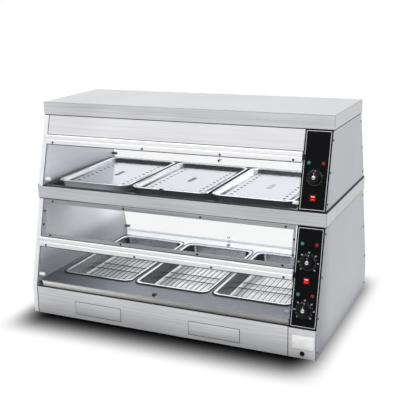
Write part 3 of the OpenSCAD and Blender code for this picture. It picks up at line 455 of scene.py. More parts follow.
def softened(name, materials, slot, edge, by_solid=None, by_face=None, edge_material=-1):
    """Copy of a CAD node with its sharp edges rounded by so many millimetres, in the node's place.

    by_solid gives the number of each solid's material for its size, by_face of each face's for its
    centre and normal. The rounded edges keep their faces' material unless edge_material gives another.
    """
    shape = bmesh.new()
    shape.from_mesh(NODES[name].data)
    bmesh.ops.remove_doubles(shape, verts=shape.verts, dist=WELD)
    bmesh.ops.dissolve_limit(shape, angle_limit=FLAT, verts=shape.verts, edges=shape.edges)
    for solid in islands(shape) if by_solid else ():
        across = [v.co.x for f in solid for v in f.verts]
        for face in solid:
            face.material_index = by_solid(min(across), max(across))
    for face in shape.faces if by_face else ():
        face.material_index = by_face(face.calc_center_median(), face.normal)
    hard = [e for e in shape.edges if e.is_manifold and e.calc_face_angle() > SHARP]
    bmesh.ops.bevel(shape, geom=hard, offset=edge * MM, segments=2, profile=ROUNDING, affect="EDGES",
                    clamp_overlap=True, material=edge_material)
    piece = finish_mesh(shape, name + ".soft", materials, NODES[name]["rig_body"], slot)
    piece.modifiers.new("even_shading", "WEIGHTED_NORMAL").keep_sharp = True
    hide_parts(name)
    return piece


def dress(material, *names):
    """Gives CAD nodes a material."""
    for name in names:
        mesh = NODES[name].data
        mesh.materials.clear()
        mesh.materials.append(material)


# Sheet metal of the case

# Rear edge of the deck's front part, painted dark as shade and reflection, and how far a face of its lips
# leans outwards
DECK_SHADE_Y = -0.2
LIP_LEAN = 0.3
# How far a face is turned to an axis to count as an end, and as the edge of a cheek
TURNED_TO, CHEEK_TURN = 0.9, 0.5
# Rounding of the covers' folds, in millimetres
COVER_EDGE = 2.6


def deck_finish(centre, normal):
    """Material of a face of the lower deck: a lighter copy on the lips outside as painted reflection, a
    darker copy in front as painted shade and reflection, and bright steel behind.
    """
    if centre.y * normal.y > LIP_LEAN * abs(centre.y):
        return 1
    return 2 if centre.y < DECK_SHADE_Y else 0


def rest_finish(centre, normal):
    """Material of a face of the flaps' rests: white in front, and darker copies as painted shade behind and
    low beside the pillar.
    """
    if centre.y > 0:
        return 1
    return 2 if centre.x > 0 and centre.z < Z_CEIL else 0


def make_casing():
    """The case's sheets with folded edges, and the finish of what needs no other shape."""
    covers = (("top_cap", STEEL_CAP, "stainless_bright"), ("middle_slab", STEEL_SLAB, "stainless"))
    for name, front, slot in covers:
        # Covers get painted shade on their rounded folds, and the darker copy of their steel on faces
        # turned up or to the ends
        softened(name, [front, STEEL_EDGE_SHADE, STEEL_TOP_SHADE], slot, COVER_EDGE, edge_material=1,
                 by_face=lambda centre, normal: 2 if max(normal.z, abs(normal.x)) > TURNED_TO else 0)
    soft = (
        ("fascias", STEEL_FASCIA, "stainless_bright", 0.6),
        ("front_kick", STEEL_KICK, "stainless", 0.6),
        ("rear_kick", STEEL_KICK, "stainless", 0.5),
        ("control_kick", STEEL_KICK, "stainless", 0.6),
        ("window_frames", STEEL_FRAME, "stainless", 0.5),
        ("hinge_rails", RAIL, "aluminium", 0.8),
        ("upper_control_panel", PANEL_BLACK, "panel_black", 0.6),
        ("lower_control_panel", PANEL_BLACK, "panel_black", 0.6),
        ("pillar_backs", STEEL_SIDE, "stainless", 0.5),
    )
    for name, material, slot, edge in soft:
        softened(name, [material], slot, edge)
    for tier in ("upper", "lower"):
        for side in ("left", "right"):
            # Faces of the side panels turned to front and rear get the lighter copy: painted light
            softened(f"{tier}_{side}_panel", [STEEL_SIDE, STEEL_CHEEK_LIT], "stainless", 1.0,
                     by_face=lambda centre, normal: 1 if abs(normal.y) > CHEEK_TURN else 0)
    softened("flap_rests", [NYLON, NYLON_REAR_SHADE, NYLON_PILLAR_SHADE], "nylon_white", 1.2, by_face=rest_finish)
    softened("lower_deck", [STEEL_DECK, STEEL_LIP_LIT, STEEL_DECK_FRONT_SHADE], "stainless_deck", 0.3, by_face=deck_finish)
    for name in ("left_liners", "right_liners"):
        # Liners above the middle slab get the lighter copy: painted light
        softened(name, [STEEL_LINER, STEEL_LINER_UPPER_LIT], "stainless", 0.3,
                 by_face=lambda centre, normal: 1 if centre.z > Z_CEIL else 0)
    dress(STEEL_LINER, "ceiling_panels")
    dress(STEEL_KICK, "base_plate")
    dress(STEEL_TROUGH_SHADE, "upper_deck")
    dress(STEEL_LINER, "pan_well")
    dress(SHEATH, "heating_elements", "thermostats")
    dress(RUBBER, "feet")
    dress(PLASTIC_BLACK, "bonding_terminal", "cable_gland", "rocker_housings")
    dress(SCREW_BLACK, "casing_screws")
    dress(QUARTZ, "heat_lamps")
    dress(CERAMIC, "lamp_holders")
    dress(GLASS, "window_panes")
    softened("hinge_pivots", [PLASTIC_BLACK, RAIL], "black_plastic", 0.8,
             by_solid=lambda low, high: 1 if high < 0 else 0)


# Places on the case, in metres

X_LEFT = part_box("left_liners")[1].x
X_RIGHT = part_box("right_liners")[0].x
SIDE_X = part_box("lower_right_panel")[1].x
Z_BASE, Z_KICK = (p.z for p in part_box("front_kick"))
Z_CEIL, Z_SHELF = (p.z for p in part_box("middle_slab"))
Z_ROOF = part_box("top_cap")[0].z
KICK_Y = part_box("front_kick")[0].y
# Height of the ridge along the edge of the lower deck
RIDGE = 5.0 * MM
# Knob whose axis gives the direction of each slope
SLOPE_KNOBS = {"upper": "upper_thermostat_knob_turn", "lower": "pan_thermostat_knob_turn"}
MIRROR_Y = Matrix.Diagonal((1, -1, 1, 1))


def upright(x, y, z, across, up):
    """Frame at a point: x and y run along the two directions, z out of their plane."""
    across, up = Vector(across), Vector(up)
    turn = Matrix((across, up, across.cross(up))).transposed().to_4x4()
    return shift((x, y, z)) @ turn


def slope(tier):
    """Frame on a tier's front slope: x as on the case, y up the slope from the floor, z outwards."""
    knob = JOINTS[SLOPE_KNOBS[tier]]
    out = -Vector(knob["axis"])
    up = out.cross(RIGHT)
    at = Vector(knob["pos_m"])
    at -= up * (at.z / up.z)
    return upright(0, at.y, at.z, RIGHT, up)


def up_slope(tier, z):
    """Distance up a tier's slope at a height."""
    return z / slope(tier).col[1].z


# Hinge rails along the slope, from the hinge's pin
RAIL_TOP, RAIL_FOOT = 22.8 * MM, -14.6 * MM


def hinge_height(tier):
    """Distance up a tier's slope of its hinge pin."""
    return (slope(tier).inverted() @ Vector(JOINTS[f"front_{tier}_flap_hinge"]["pos_m"])).y


# Dark strips of painted shade in the seams between sheets, at the foot of the upper tier and under the
# covers, with their rounding
SEAM_W, SEAM_H = 2.4 * MM, 0.7 * MM
FOOT_SEAM_W, FOOT_SEAM_H = 6.0 * MM, 2.8 * MM
SIDE_SEAM_W = 5.0 * MM
SEAM_ARRIS = 0.25 * MM
# How far the upright seams of the kick end below its top
SEAM_SHORT = 1.0 * MM
# Dark strip of painted shadow on the ledge before the deck's lip: its start behind the kick's face, its end
# behind the deck's edge
LEDGE_IN, LIP_BACK = 4.0 * MM, 8.8 * MM
# Dark strip of painted shade below the upper glass: its height, and its depth to both sides of the slope
GLASS_FOOT_SHADE_H, GLASS_FOOT_SHADE_IN, GLASS_FOOT_SHADE_OUT = 3.4 * MM, -3.0 * MM, 1.4 * MM


def add_strip(shape, place, low, high, height=SEAM_H, material=0):
    """Flat strip between two corners of a place's plane."""
    size = (high[0] - low[0], high[1] - low[1], height)
    middle = ((low[0] + high[0]) / 2, (low[1] + high[1]) / 2, height / 2)
    add_box(shape, middle, size, place, min(height / 2, SEAM_ARRIS), material)


def make_seams():
    """Dark strips of painted shade in the joints between the sheets of the case, in front and behind."""
    shape = bmesh.new()
    w = SEAM_W
    for flip in (Matrix(), MIRROR_Y):
        for tier, top in (("upper", Z_ROOF), ("lower", Z_CEIL)):
            place = flip @ slope(tier)
            eaves = up_slope(tier, top)
            rail = hinge_height(tier)
            foot = up_slope(tier, Z_SHELF if tier == "upper" else Z_KICK)
            add_strip(shape, place, (-SIDE_X, eaves - w), (X_RIGHT, eaves))
            add_strip(shape, place, (X_LEFT - w, rail + RAIL_TOP), (X_LEFT, eaves - w))
            add_strip(shape, place, (X_LEFT - w, foot), (X_LEFT, rail + RAIL_FOOT))
            add_strip(shape, place, (X_LEFT, rail + RAIL_TOP), (X_RIGHT, rail + RAIL_TOP + w))
            add_strip(shape, place, (X_RIGHT, eaves - SIDE_SEAM_W), (SIDE_X, eaves), material=1)
            add_strip(shape, place, (X_RIGHT, foot), (SIDE_X, foot + FOOT_SEAM_W), material=1)
        glass_foot_shade = flip @ slope("upper") @ shift((0, up_slope("upper", Z_SHELF), GLASS_FOOT_SHADE_IN))
        add_strip(shape, glass_foot_shade, (X_LEFT, 0), (X_RIGHT, GLASS_FOOT_SHADE_H), GLASS_FOOT_SHADE_OUT - GLASS_FOOT_SHADE_IN, 1)
        front = flip @ upright(0, KICK_Y, 0, RIGHT, UP)
        for x in (X_LEFT - w, SIDE_X - w):
            add_strip(shape, front, (x, Z_BASE), (x + w, Z_KICK - SEAM_SHORT))
        ledge = flip @ upright(0, 0, Z_KICK, RIGHT, (0, 1, 0))
        lip_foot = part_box("lower_deck")[0].y + LIP_BACK
        add_strip(shape, ledge, (X_LEFT, KICK_Y + LEDGE_IN), (X_RIGHT, lip_foot), material=1)
    front = upright(0, KICK_Y, 0, RIGHT, UP)
    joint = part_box("front_kick")[1].x
    add_strip(shape, front, (joint - w / 2, Z_BASE), (joint + w / 2, Z_KICK - SEAM_SHORT))
    for side in (-1, 1):
        flank = upright(side * SIDE_X, 0, 0, (0, side, 0), UP)
        for sheet, z in (("top_cap", Z_ROOF), ("middle_slab", Z_CEIL)):
            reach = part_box(sheet)[1].y
            add_strip(shape, flank, (-reach, z - SIDE_SEAM_W), (reach, z), material=1)
        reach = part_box("middle_slab")[1].y
        add_strip(shape, flank, (-reach, Z_SHELF), (reach, Z_SHELF + FOOT_SEAM_W), FOOT_SEAM_H, 1)
    finish_mesh(shape, "case_seams", [SEAM_SHADE, GASKET_AND_SHADOW], "case", "rubber")


# Flaps

# Ground edge of the glass, the outer face of the glass from the slope, and the gasket below a rail, partly
# real gasket and partly painted shadow
GLASS_ARRIS = 0.8 * MM
GLASS_FACE = 1.5 * MM
GASKET_W, GASKET_H = 2.4 * MM, 0.9 * MM
# Widest screw and pull on a rail
SCREW_SPAN, PULL_SPAN = 10.0 * MM, 40.0 * MM


def rail_finish(low, high):
    """Material of a solid of a swinging rail by its width: a screw, a pull or the rail itself."""
    if high - low < SCREW_SPAN:
        return 1
    return 2 if high - low < PULL_SPAN else 0


def make_flaps():
    """Swinging rails with their screws and pull, a black gasket below that is partly real and partly
    painted shadow, and glass with ground edges.
    """
    for flap in FLAPS:
        side, tier, _ = flap.split("_")
        flip = MIRROR_Y if side == "rear" else Matrix()
        place = flip @ slope(tier) @ shift((0, 0, GLASS_FACE))
        low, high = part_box(flap + "_glass")
        foot = hinge_height(tier) + RAIL_FOOT
        shape = bmesh.new()
        add_strip(shape, place, (low.x, foot - GASKET_W), (high.x, foot), GASKET_H)
        finish_mesh(shape, flap + "_gasket", [GASKET_AND_SHADOW], flap, "rubber")
        # Front pulls get the darker copy: painted reflection
        pull = TURNED_SHADED if side == "front" else TURNED
        softened(flap + "_rail", [RAIL, SCREW_BLACK, pull], "aluminium", 0.6, by_solid=rail_finish)
        softened_glass(flap + "_glass")


# How far a face is turned to the broad side of the glass to belong to it
BROAD_FACE = 0.99


def softened_glass(name):
    """Sheet of glass whose narrow faces have the edge's own material."""
    piece = softened(name, [GLASS, GLASS_EDGE], "glass", GLASS_ARRIS / MM)
    mesh = piece.data
    broad = max(mesh.polygons, key=lambda f: f.area).normal.copy()
    for face in mesh.polygons:
        face.material_index = 0 if abs(face.normal.dot(broad)) > BROAD_FACE else 1


# Pans, racks, trays and inserts

def arc(centre, radius, start, stop, steps):
    """Points of an arc in a section, as inset and height, with angles in degrees."""
    turns = [radians(start + (stop - start) * i / steps) for i in range(steps + 1)]
    return [(centre[0] + radius * cos(a), centre[1] + radius * sin(a)) for a in turns]


def painted_wall_light(point, tones):
    """Painted light of a wall at a point of a ring: sides and ends have their own tone, with painted shade
    in the corners between them.

    Every other corner also has a painted highlight beside it, as under a light from one side.
    """
    quarter, step = divmod(point, CORNER_STEPS + 1)
    turn = step / CORNER_STEPS
    turn = turn if quarter % 2 == 0 else 1 - turn
    side, corner, shine, end = tones[:4]
    if quarter % 2 == 0:
        shine = corner
    stops = ((0.0, side), (0.25, (side + corner) / 2), (0.5, corner), (0.75, corner),
             (0.87, shine), (1.0, end))
    for (start, low), (stop, high) in zip(stops, stops[1:]):
        if turn <= stop:
            return low + (high - low) * (turn - start) / (stop - start)


def vessel(name, section, corner, materials, tones, foot_share):
    """Sheet vessel in place of a CAD node.

    The section lists inset from the rim's edge, height above the rim's seat and material, from the middle
    of the underside round the rim to the middle of the floor, in millimetres. The tones are the painted
    light and shade of the walls at the sides, in the corners, beside the corners as painted highlight and
    at the ends, and their shares of painted shade at the foot, at the rear and in front. The foot begins at
    a share of the depth.
    """
    low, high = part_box(name)
    centre = Vector(((low.x + high.x) / 2, (low.y + high.y) / 2, 0))
    half = (high - low) / 2
    seat = high.z - SHEET * MM
    rings = [rounded_ring(half.x - inset * MM, half.y - inset * MM,
                          max(corner - CORNER_SHRINK * inset, CORNER_LEAST) * MM,
                          seat + height * MM, centre) for inset, height, _ in section]
    shape = bmesh.new()
    layer = shape.verts.layers.float.new(PAINTED_LIGHT_TONE)
    foot = min(height for _, height, _ in section) * foot_share
    for i, point in enumerate(add_loft(shape, rings, [material for *_, material in section[1:]])):
        ring, place = divmod(i, len(rings[0]))
        share = tones[4 if place < len(rings[0]) // 2 else 5] if section[ring][1] < foot else 1
        point[layer] = painted_wall_light(place, tones) * share
    piece = finish_mesh(shape, name + ".vessel", materials, name, "pan_steel", VESSEL_SHARP)
    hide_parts(name)


# Vessels, in millimetres and degrees: thickness of the sheet, and the angle of their sharp edges
SHEET = 1.0
VESSEL_SHARP = 40.0
# Corners of a vessel get tighter by so much per inset, down to a least radius
CORNER_SHRINK, CORNER_LEAST = 0.25, 6.0
# Walls have painted shade near the floor: from which share of the depth down
PAN_FOOT, TRAY_FOOT = 0.6, 0.42
# Numbers of a vessel's materials
RIM, WALL, FLOOR, OUTSIDE = 0, 1, 2, 3
# Rim's hem, as inset and drop, and the rim's turn to the wall: radius, drop of its centre and of its end
HEM_IN, HEM_DROP = 0.8, 0.3
TURN_R, TURN_DROP, TURN_END = 3.5, 4.3, 5.0
# Angles on the crown of the rim, shares of the height of the wall, and where the floor goes flat
CROWN_ANGLES = (0, 20, 45, 70, 90, 110)
WALL_SHARES = (0.15, 0.38, 0.5, 0.9)
FLOOR_IN = 6.0
# Share of the fillet that is left at the middle of its bend, on the outside
BEND_SHARE = 0.3


def section_of(rim_w, crown, top_in, low_in, depth, fillet):
    """Section of a pressed vessel: flat underside, drafted walls, a crowned rim and a filleted floor."""
    floor = SHEET - depth + SHEET
    outer = [(low_in + fillet, floor - SHEET, OUTSIDE),
             (low_in - SHEET + fillet * BEND_SHARE, floor - SHEET + fillet * BEND_SHARE, OUTSIDE),
             (low_in - SHEET, floor - SHEET + fillet, OUTSIDE),
             (top_in - SHEET, -HEM_DROP, OUTSIDE), (HEM_IN, 0.0, RIM)]
    middle = rim_w / 2
    crest = [(middle - middle * cos(a), crown * sin(a), RIM)
             for a in map(radians, CROWN_ANGLES)]
    turn = [(i, h, RIM) for i, h in arc((top_in - TURN_R, crown - TURN_DROP), TURN_R, 70, 5, 4)]
    top, foot = crown - TURN_END, floor + fillet
    wall = [(top_in + (low_in - top_in) * t, top + (foot - top) * t, WALL) for t in WALL_SHARES]
    bend = [(i, h, WALL if h > floor + fillet / 2 else FLOOR)
            for i, h in arc((low_in + fillet, foot), fillet, 180, 270, 5)]
    return outer + crest + turn + wall + bend + [(low_in + fillet + FLOOR_IN, floor, FLOOR)]


# Corner radii
PAN_CORNER, TRAY_CORNER = 34.0, 34.0
# Painted light and shade of the walls, as vessel takes them, with the pans' sides and corners set by bay
PAN_SHARED_PAINTED_LIGHT = (1.6, 1.25, 0.5, 0.5)
PAN_PAINTED_LIGHT = {bay: pair + PAN_SHARED_PAINTED_LIGHT for bay, pair in zip(BAYS, ((0.95, 0.05), (0.2, 0.03), (0.16, 0.03)))}
TRAY_PAINTED_LIGHT = (1.25, 0.03, 0.04, 0.045, 1.0, 0.02)
# Black ring of painted shadow round a pan: its width, height and distance from the rim, and how much wider
# it is in front
RIM_SHADOW_W, RIM_SHADOW_H, RIM_SHADOW_GAP, RIM_SHADOW_FRONT = 1.4 * MM, 3.2 * MM, 0.3 * MM, 7.0 * MM
# Dark sheet of painted shade under an insert: its distance from the top and from the edges, and its
# thickness
UNDER_GAP, UNDER_IN, UNDER_T = 1.5 * MM, 3.0 * MM, 0.4 * MM
# Perforations of an insert, drawn as dark discs of painted shade: rows so far from its edges, along the
# sides and along the ends
HOLE_ROW, HOLES_SIDE, HOLES_END = 22.0 * MM, 12, 9
HOLE_RIM = [(0, 0), (5.6, 0), (5.6, 0.15), (0, 0.15)]


def make_rim_shadow(bay):
    """Black ring of painted shadow on the deck round the rim of a pan."""
    low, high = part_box(f"pan_{bay}")
    half = (high - low) / 2
    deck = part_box("lower_deck")[1].z - RIDGE
    centre = Vector(((low.x + high.x) / 2, (low.y + high.y) / 2, deck))
    edges = []
    for grow, front in ((RIM_SHADOW_GAP, 0), (RIM_SHADOW_GAP + RIM_SHADOW_W, RIM_SHADOW_FRONT)):
        middle = centre - Vector((0, front / 2, 0))
        edges.append((half.x + grow, half.y + grow + front / 2, PAN_CORNER * MM + grow, middle))
    inner, outer = edges
    shape = bmesh.new()
    loops = [[shape.verts.new(p) for p in rounded_ring(*edge[:3], height, edge[3])]
             for edge, height in ((inner, 0), (outer, 0), (outer, RIM_SHADOW_H), (inner, RIM_SHADOW_H), (inner, 0))]
    for low_loop, high_loop in zip(loops, loops[1:]):
        bridge(shape, low_loop, high_loop)
    bmesh.ops.remove_doubles(shape, verts=shape.verts, dist=WELD)
    finish_mesh(shape, f"pan_{bay}_rim_shadow", [GASKET_AND_SHADOW], "case", "rubber")


def hole_places(half):
    """Centres of an insert's perforations, from its middle."""
    x, y = half.x - HOLE_ROW, half.y - HOLE_ROW
    sides = [(side * x, (2 * i / (HOLES_SIDE - 1) - 1) * y)
             for i in range(HOLES_SIDE) for side in (-1, 1)]
    ends = [((2 * i / (HOLES_END - 1) - 1) * x, end * y)
            for i in range(1, HOLES_END - 1) for end in (-1, 1)]
    return sides + ends


def make_insert(bay):
    """Perforated insert, with dark discs of painted shade for its holes and a dark sheet of painted shade
    under it that shows through its slot.
    """
    name = f"insert_{bay}"
    dress(INSERT, name)
    low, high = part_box(name)
    shape = bmesh.new()
    middle = (low + high) / 2
    middle.z = high.z - UNDER_GAP
    size = (high.x - low.x - 2 * UNDER_IN, high.y - low.y - 2 * UNDER_IN, UNDER_T)
    for x, y in hole_places((high - low) / 2):
        spot = shift((middle.x + x, middle.y + y, high.z))
        add_lathe(shape, in_metres(HOLE_RIM), spot, 16, 1)
    add_box(shape, middle, size, bevel=UNDER_T / 4)
    finish_mesh(shape, name + "_underside", [INSERT_SHADE_SHEET, INSERT_HOLE_SHADE], name, "stainless")


def make_vessels():
    """Pans with rings of painted shadow round them, trays with their inserts, and the racks' finish."""
    pan = section_of(rim_w=12.0, crown=3.0, top_in=13.0, low_in=17.0, depth=65.0, fillet=9.0)
    tray = section_of(rim_w=9.0, crown=2.6, top_in=9.5, low_in=16.5, depth=35.0, fillet=2.0)
    pan_finish = [PAN_STEEL, PAN_WALL, PAN_FLOOR, PAN_STEEL]
    tray_finish = [PAN_STEEL, TRAY_WALL, TRAY_FLOOR, TRAY_OUTSIDE]
    for bay in BAYS:
        vessel(f"pan_{bay}", pan, PAN_CORNER, pan_finish, PAN_PAINTED_LIGHT[bay], PAN_FOOT)
        vessel(f"tray_{bay}", tray, TRAY_CORNER, tray_finish, TRAY_PAINTED_LIGHT, TRAY_FOOT)
        make_rim_shadow(bay)
        make_insert(bay)
        dress(WIRE, f"rack_{bay}")


# Controls

# Thickness of the control panels
PANEL_T = 2.0 * MM
KNOBS = ("upper_thermostat_knob", "pan_thermostat_knob", "air_thermostat_knob")
# Dials with marks alone
PLAIN_DIALS = ("upper_thermostat_knob",)


def on_slope(joint):
    """Place on the panel at a joint: x to the right, y up the slope, z out of the panel, z = 0 its face."""
    out = -Vector(JOINTS[SLOPE_KNOBS["upper" if "upper" in joint else "lower"]]["axis"]).normalized()
    face = upright(*JOINTS[joint]["pos_m"], RIGHT, out.cross(RIGHT))
    return face @ shift((0, 0, PANEL_T))


# Lamps: height of each pair above its knob, along the slope, and half the distance between the two
LAMP_PAIRS = {
    "upper": ("upper_thermostat_knob_turn", 51.0),
    "pan": ("pan_thermostat_knob_turn", 53.7),
    "air": ("air_thermostat_knob_turn", 64.0),
}
LAMP_HALF_PITCH = 26.0
# Profiles, as radius and height
LAMP_BEZEL = [(0, 0), (8.5, 0), (8.5, 1.2), (8.0, 1.9), (7.0, 2.1), (6.6, 1.5), (0, 1.5)]
LAMP_LENS = [(0, 1.2), (6.5, 1.2), (6.5, 2.2), (6.0, 3.8), (4.6, 5.2), (2.4, 6.1), (0, 6.4)]


def in_metres(profile):
    """A profile's millimetres as metres."""
    return [(radius * MM, height * MM) for radius, height in profile]


def make_lamps():
    """Bezels and domed lenses of the indicator lamps: green at the left and red at the right."""
    for name, (joint, rise) in LAMP_PAIRS.items():
        for side, colour, material in ((-1, "green", LENS_GREEN), (1, "red", LENS_RED)):
            place = on_slope(joint) @ shift((side * LAMP_HALF_PITCH * MM, rise * MM, 0))
            shape = bmesh.new()
            add_lathe(shape, in_metres(LAMP_BEZEL), place)
            add_lathe(shape, in_metres(LAMP_LENS), place, material=1)
            finish = [PLASTIC_BLACK, material]
            lamp = finish_mesh(shape, f"{name}_lamp_{colour}", finish, "case", "lamp_lens")
            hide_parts("indicator_lamps")


# Dials: figures, first angle and sweep in degrees, radii, and sizes of marks, figures and print
DIAL_NUMBERS = ("0", "30", "40", "50", "60", "70", "85")
DIAL_START, DIAL_SWEEP = 225.0, 270.0
DIAL_R, TICK_R = 35.0, 31.0
TICK_L, TICK_W = 2.4, 0.9
NUMBER_SIZE = 7.2
PRINT_H = 0.12
# Boldness of the figures, as a share of their size
PRINT_BOLD = 0.01


def add_words(shape, words, size, place):
    """Flat raised letters or figures, centred on the place."""
    curve = bpy.data.curves.new("words", "FONT")
    curve.body = words
    curve.size = size * MM
    curve.align_x = "CENTER"
    curve.align_y = "CENTER"
    curve.extrude = PRINT_H * MM / 2
    curve.offset = size * MM * PRINT_BOLD
    holder = linked("words", curve)
    bpy.context.view_layer.update()
    mesh = bpy.data.meshes.new_from_object(holder.evaluated_get(bpy.context.evaluated_depsgraph_get()))
    mesh.transform(place @ shift((0, 0, PRINT_H * MM / 2)))
    shape.from_mesh(mesh)
    bpy.data.objects.remove(holder)
    bpy.data.curves.remove(curve)
    bpy.data.meshes.remove(mesh)


def make_dials():
    """Printed scale round each knob, and the knob's own line and metal cap."""
    for knob in KNOBS:
        place = on_slope(knob + "_turn")
        shape = bmesh.new()
        steps = len(DIAL_NUMBERS) - 1
        for i in range(2 * steps + 1):
            angle = radians(DIAL_START - DIAL_SWEEP * i / (2 * steps))
            spot = Vector((cos(angle), sin(angle), 0))
            if i % 2 == 0 and knob not in PLAIN_DIALS:
                at = place @ shift(spot * DIAL_R * MM)
                add_words(shape, DIAL_NUMBERS[i // 2], NUMBER_SIZE, at)
                continue
            tick = place @ Matrix.Rotation(angle, 4, "Z")
            size = (TICK_L * MM, TICK_W * MM, PRINT_H * MM)
            add_box(shape, (TICK_R * MM, 0, PRINT_H * MM / 2), size, tick)
        finish_mesh(shape, knob + "_scale", [PRINT_DIM if knob in PLAIN_DIALS else PRINT], "case")
        softened(knob, [PLASTIC_BLACK], "black_plastic", 0.5)
        make_knob_trim(knob, place)


# Height of a knob's grip above the panel
KNOB_TOP = 19.2
# Metal cap in the middle of a knob
CAP_DOME = [(0, 0), (6.5, 0), (6.5, 0.5), (5.2, 1.1), (2.925, 1.5), (0, 1.6)]
# Raised bead at the edge of a knob's skirt
KNOB_BEAD = [(25.2, 5.2), (25.6, 5.9), (26.4, 6.2), (27.3, 5.8),
             (27.9, 5.0), (27.9, 4.4), (25.2, 4.4), (25.2, 5.2)]
# White lines on a knob's grip and skirt: distance from the axis, height, width, length, thickness, arris
GRIP_LINE = (12.6, KNOB_TOP + 0.1, 1.8, 8.0, 0.4, 0.1)
SKIRT_LINE = (23.6, 6.1, 1.6, 5.4, 0.25, 0.0)


def make_knob_trim(knob, place):
    """White pointer line, a turned metal cap in the middle of the knob and a bead at its edge."""
    shape = bmesh.new()
    add_lathe(shape, in_metres(CAP_DOME), place @ shift((0, 0, KNOB_TOP * MM)))
    add_lathe(shape, in_metres(KNOB_BEAD), place, 64, 2)
    for line in (SKIRT_LINE, GRIP_LINE):
        out, height, width, length, thick, arris = (value * MM for value in line)
        add_box(shape, (0, out, height), (width, length, thick), place, arris, 1)
    finish_mesh(shape, knob + "_trim", [TURNED, PRINT, KNOB_GLOSS], knob, "aluminium")


# Dark border of a rocker's lit faces, partly the light behind falling off and partly painted shade, and the
# tones of border and middle
ROCKER_BORDER = 4.4 * MM
ROCKER_SHADE_TONES = (0.12, 1.25)
# Bright window across the upper half of a rocker: width, height and thickness
WINDOW_SIZE = (13.0 * MM, 2.4 * MM, 0.4 * MM)


def make_rockers():
    """Red rockers that are lit from behind: bright in the middle of each face, with the rest darkened,
    partly as painted shade, and a window above.
    """
    for rocker, material in (("upper_rocker", ROCKER_RED), ("lower_rocker", ROCKER_LIT)):
        mesh = softened(rocker, [material], "rocker_red", 0.7).data
        shape = bmesh.new()
        shape.from_mesh(mesh)
        layer = shape.verts.layers.float.new(PAINTED_LIGHT_TONE)
        for point in shape.verts:
            point[layer] = ROCKER_SHADE_TONES[0]
        out = on_slope(rocker + "_tip").col[2].to_3d()
        faces = [f for f in shape.faces
                 if f.normal.dot(out) > TURNED_TO and f.calc_area() > ROCKER_BORDER ** 2]
        bmesh.ops.inset_individual(shape, faces=faces, thickness=ROCKER_BORDER, use_even_offset=True)
        for point in {v for f in faces for v in f.verts}:
            point[layer] = ROCKER_SHADE_TONES[1]
        upper = max(faces, key=lambda f: f.calc_center_median().z)
        place = upright(*upper.calc_center_median(), RIGHT, upper.normal.cross(RIGHT))
        shape.to_mesh(mesh)
        shape.free()
        window = bmesh.new()
        add_box(window, (0, 0, 0), WINDOW_SIZE, place, WINDOW_SIZE[2] / 3)
        finish_mesh(window, rocker + "_window", [NEON], rocker, "rocker_red")


# Outlines printed on the panels: width of the line, and its distance from the panel's edges
LINE_W, LINE_IN = 1.7, 6.0


def make_outlines():
    """Thin line printed round each control panel."""
    for tier in ("upper", "lower"):
        place = on_slope(SLOPE_KNOBS[tier])
        inverse = place.inverted()
        corners = [inverse @ v.co for v in NODES[f"{tier}_control_panel"].data.vertices]
        x0, y0 = (min(c[i] for c in corners) + LINE_IN * MM for i in (0, 1))
        x1, y1 = (max(c[i] for c in corners) - LINE_IN * MM for i in (0, 1))
        shape = bmesh.new()
        width, height = LINE_W * MM, PRINT_H * MM
        for y in (y0, y1):
            add_box(shape, ((x0 + x1) / 2, y, height / 2), (x1 - x0 + width, width, height), place)
        for x in (x0, x1):
            add_box(shape, (x, (y0 + y1) / 2, height / 2), (width, y1 - y0 - width, height), place)
        finish_mesh(shape, f"{tier}_panel_outline", [PRINT], "case")


# Plates on the kick: left, right, low and high edge in millimetres
KICK_PLATES = {"left_kick_plate": (-393, -189, 30, 82), "right_kick_plate": (104, 308, 28, 80)}
LABEL_PLATE = (508, 588, 46, 95)
# A plate and its dark bed, painted shade of the gap round the plate: thickness, how far past the plate it
# reaches, and arris
PLATE, GAP_SHADE = (1.2, 0.0, 0.5), (0.5, 1.8, 0.0)


def make_plates():
    """Raised plates on the kick, each on a slightly larger dark bed of painted shade, and a blank white
    one.
    """
    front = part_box("front_kick")[0].y
    plates = [(name, edges, STEEL_KICK) for name, edges in KICK_PLATES.items()]
    for name, (x0, x1, z0, z1), material in plates + [("label_plate", LABEL_PLATE, PLATE_WHITE)]:
        shape = bmesh.new()
        layers = ((1, GAP_SHADE), (0, PLATE)) if material is STEEL_KICK else ((0, PLATE),)
        for index, (thick, grow, arris) in layers:
            middle = ((x0 + x1) / 2 * MM, front - thick * MM / 2, (z0 + z1) / 2 * MM)
            size = ((x1 - x0 + 2 * grow) * MM, thick * MM, (z1 - z0 + 2 * grow) * MM)
            add_box(shape, middle, size, bevel=arris * MM, material=index)
        finish_mesh(shape, name, [material, SEAM_SHADE], "case", "stainless")


# Stage

def make_camera():
    """Camera in the place from which the photograph was taken."""
    yaw, pitch, roll = map(radians, CAMERA_TURN)
    right = Vector((cos(yaw), sin(yaw), 0))
    ahead = Vector((-sin(yaw) * cos(pitch), cos(yaw) * cos(pitch), -sin(pitch)))
    up = right.cross(ahead)
    x_axis = right * cos(roll) + up * sin(roll)
    y_axis = up * cos(roll) - right * sin(roll)
    camera = linked("camera", bpy.data.cameras.new("camera"))
    camera.data.lens = LENS
    camera.data.sensor_width = SENSOR
    turn = Matrix((x_axis, y_axis, -ahead)).transposed().to_4x4()
    camera.matrix_world = shift(CAMERA_AT) @ turn
    SCENE.camera = camera


# Half the floor's width
FLOOR_HALF = 30.0
# Soft shadow on the floor: how far it runs past the sides, from where to where past front and rear,
# its shift to the left, and the power that makes it even to the eye
SIDE_SHADOW, END_SHADOW, SHADOW_SHIFT, SCREEN_GAMMA = 0.085, (-0.05, 0.205), 0.016, 2.2
# Faint grain of the floor: waves per metre and share
GRAIN, GRAIN_SHARE = 1.5, 0.005


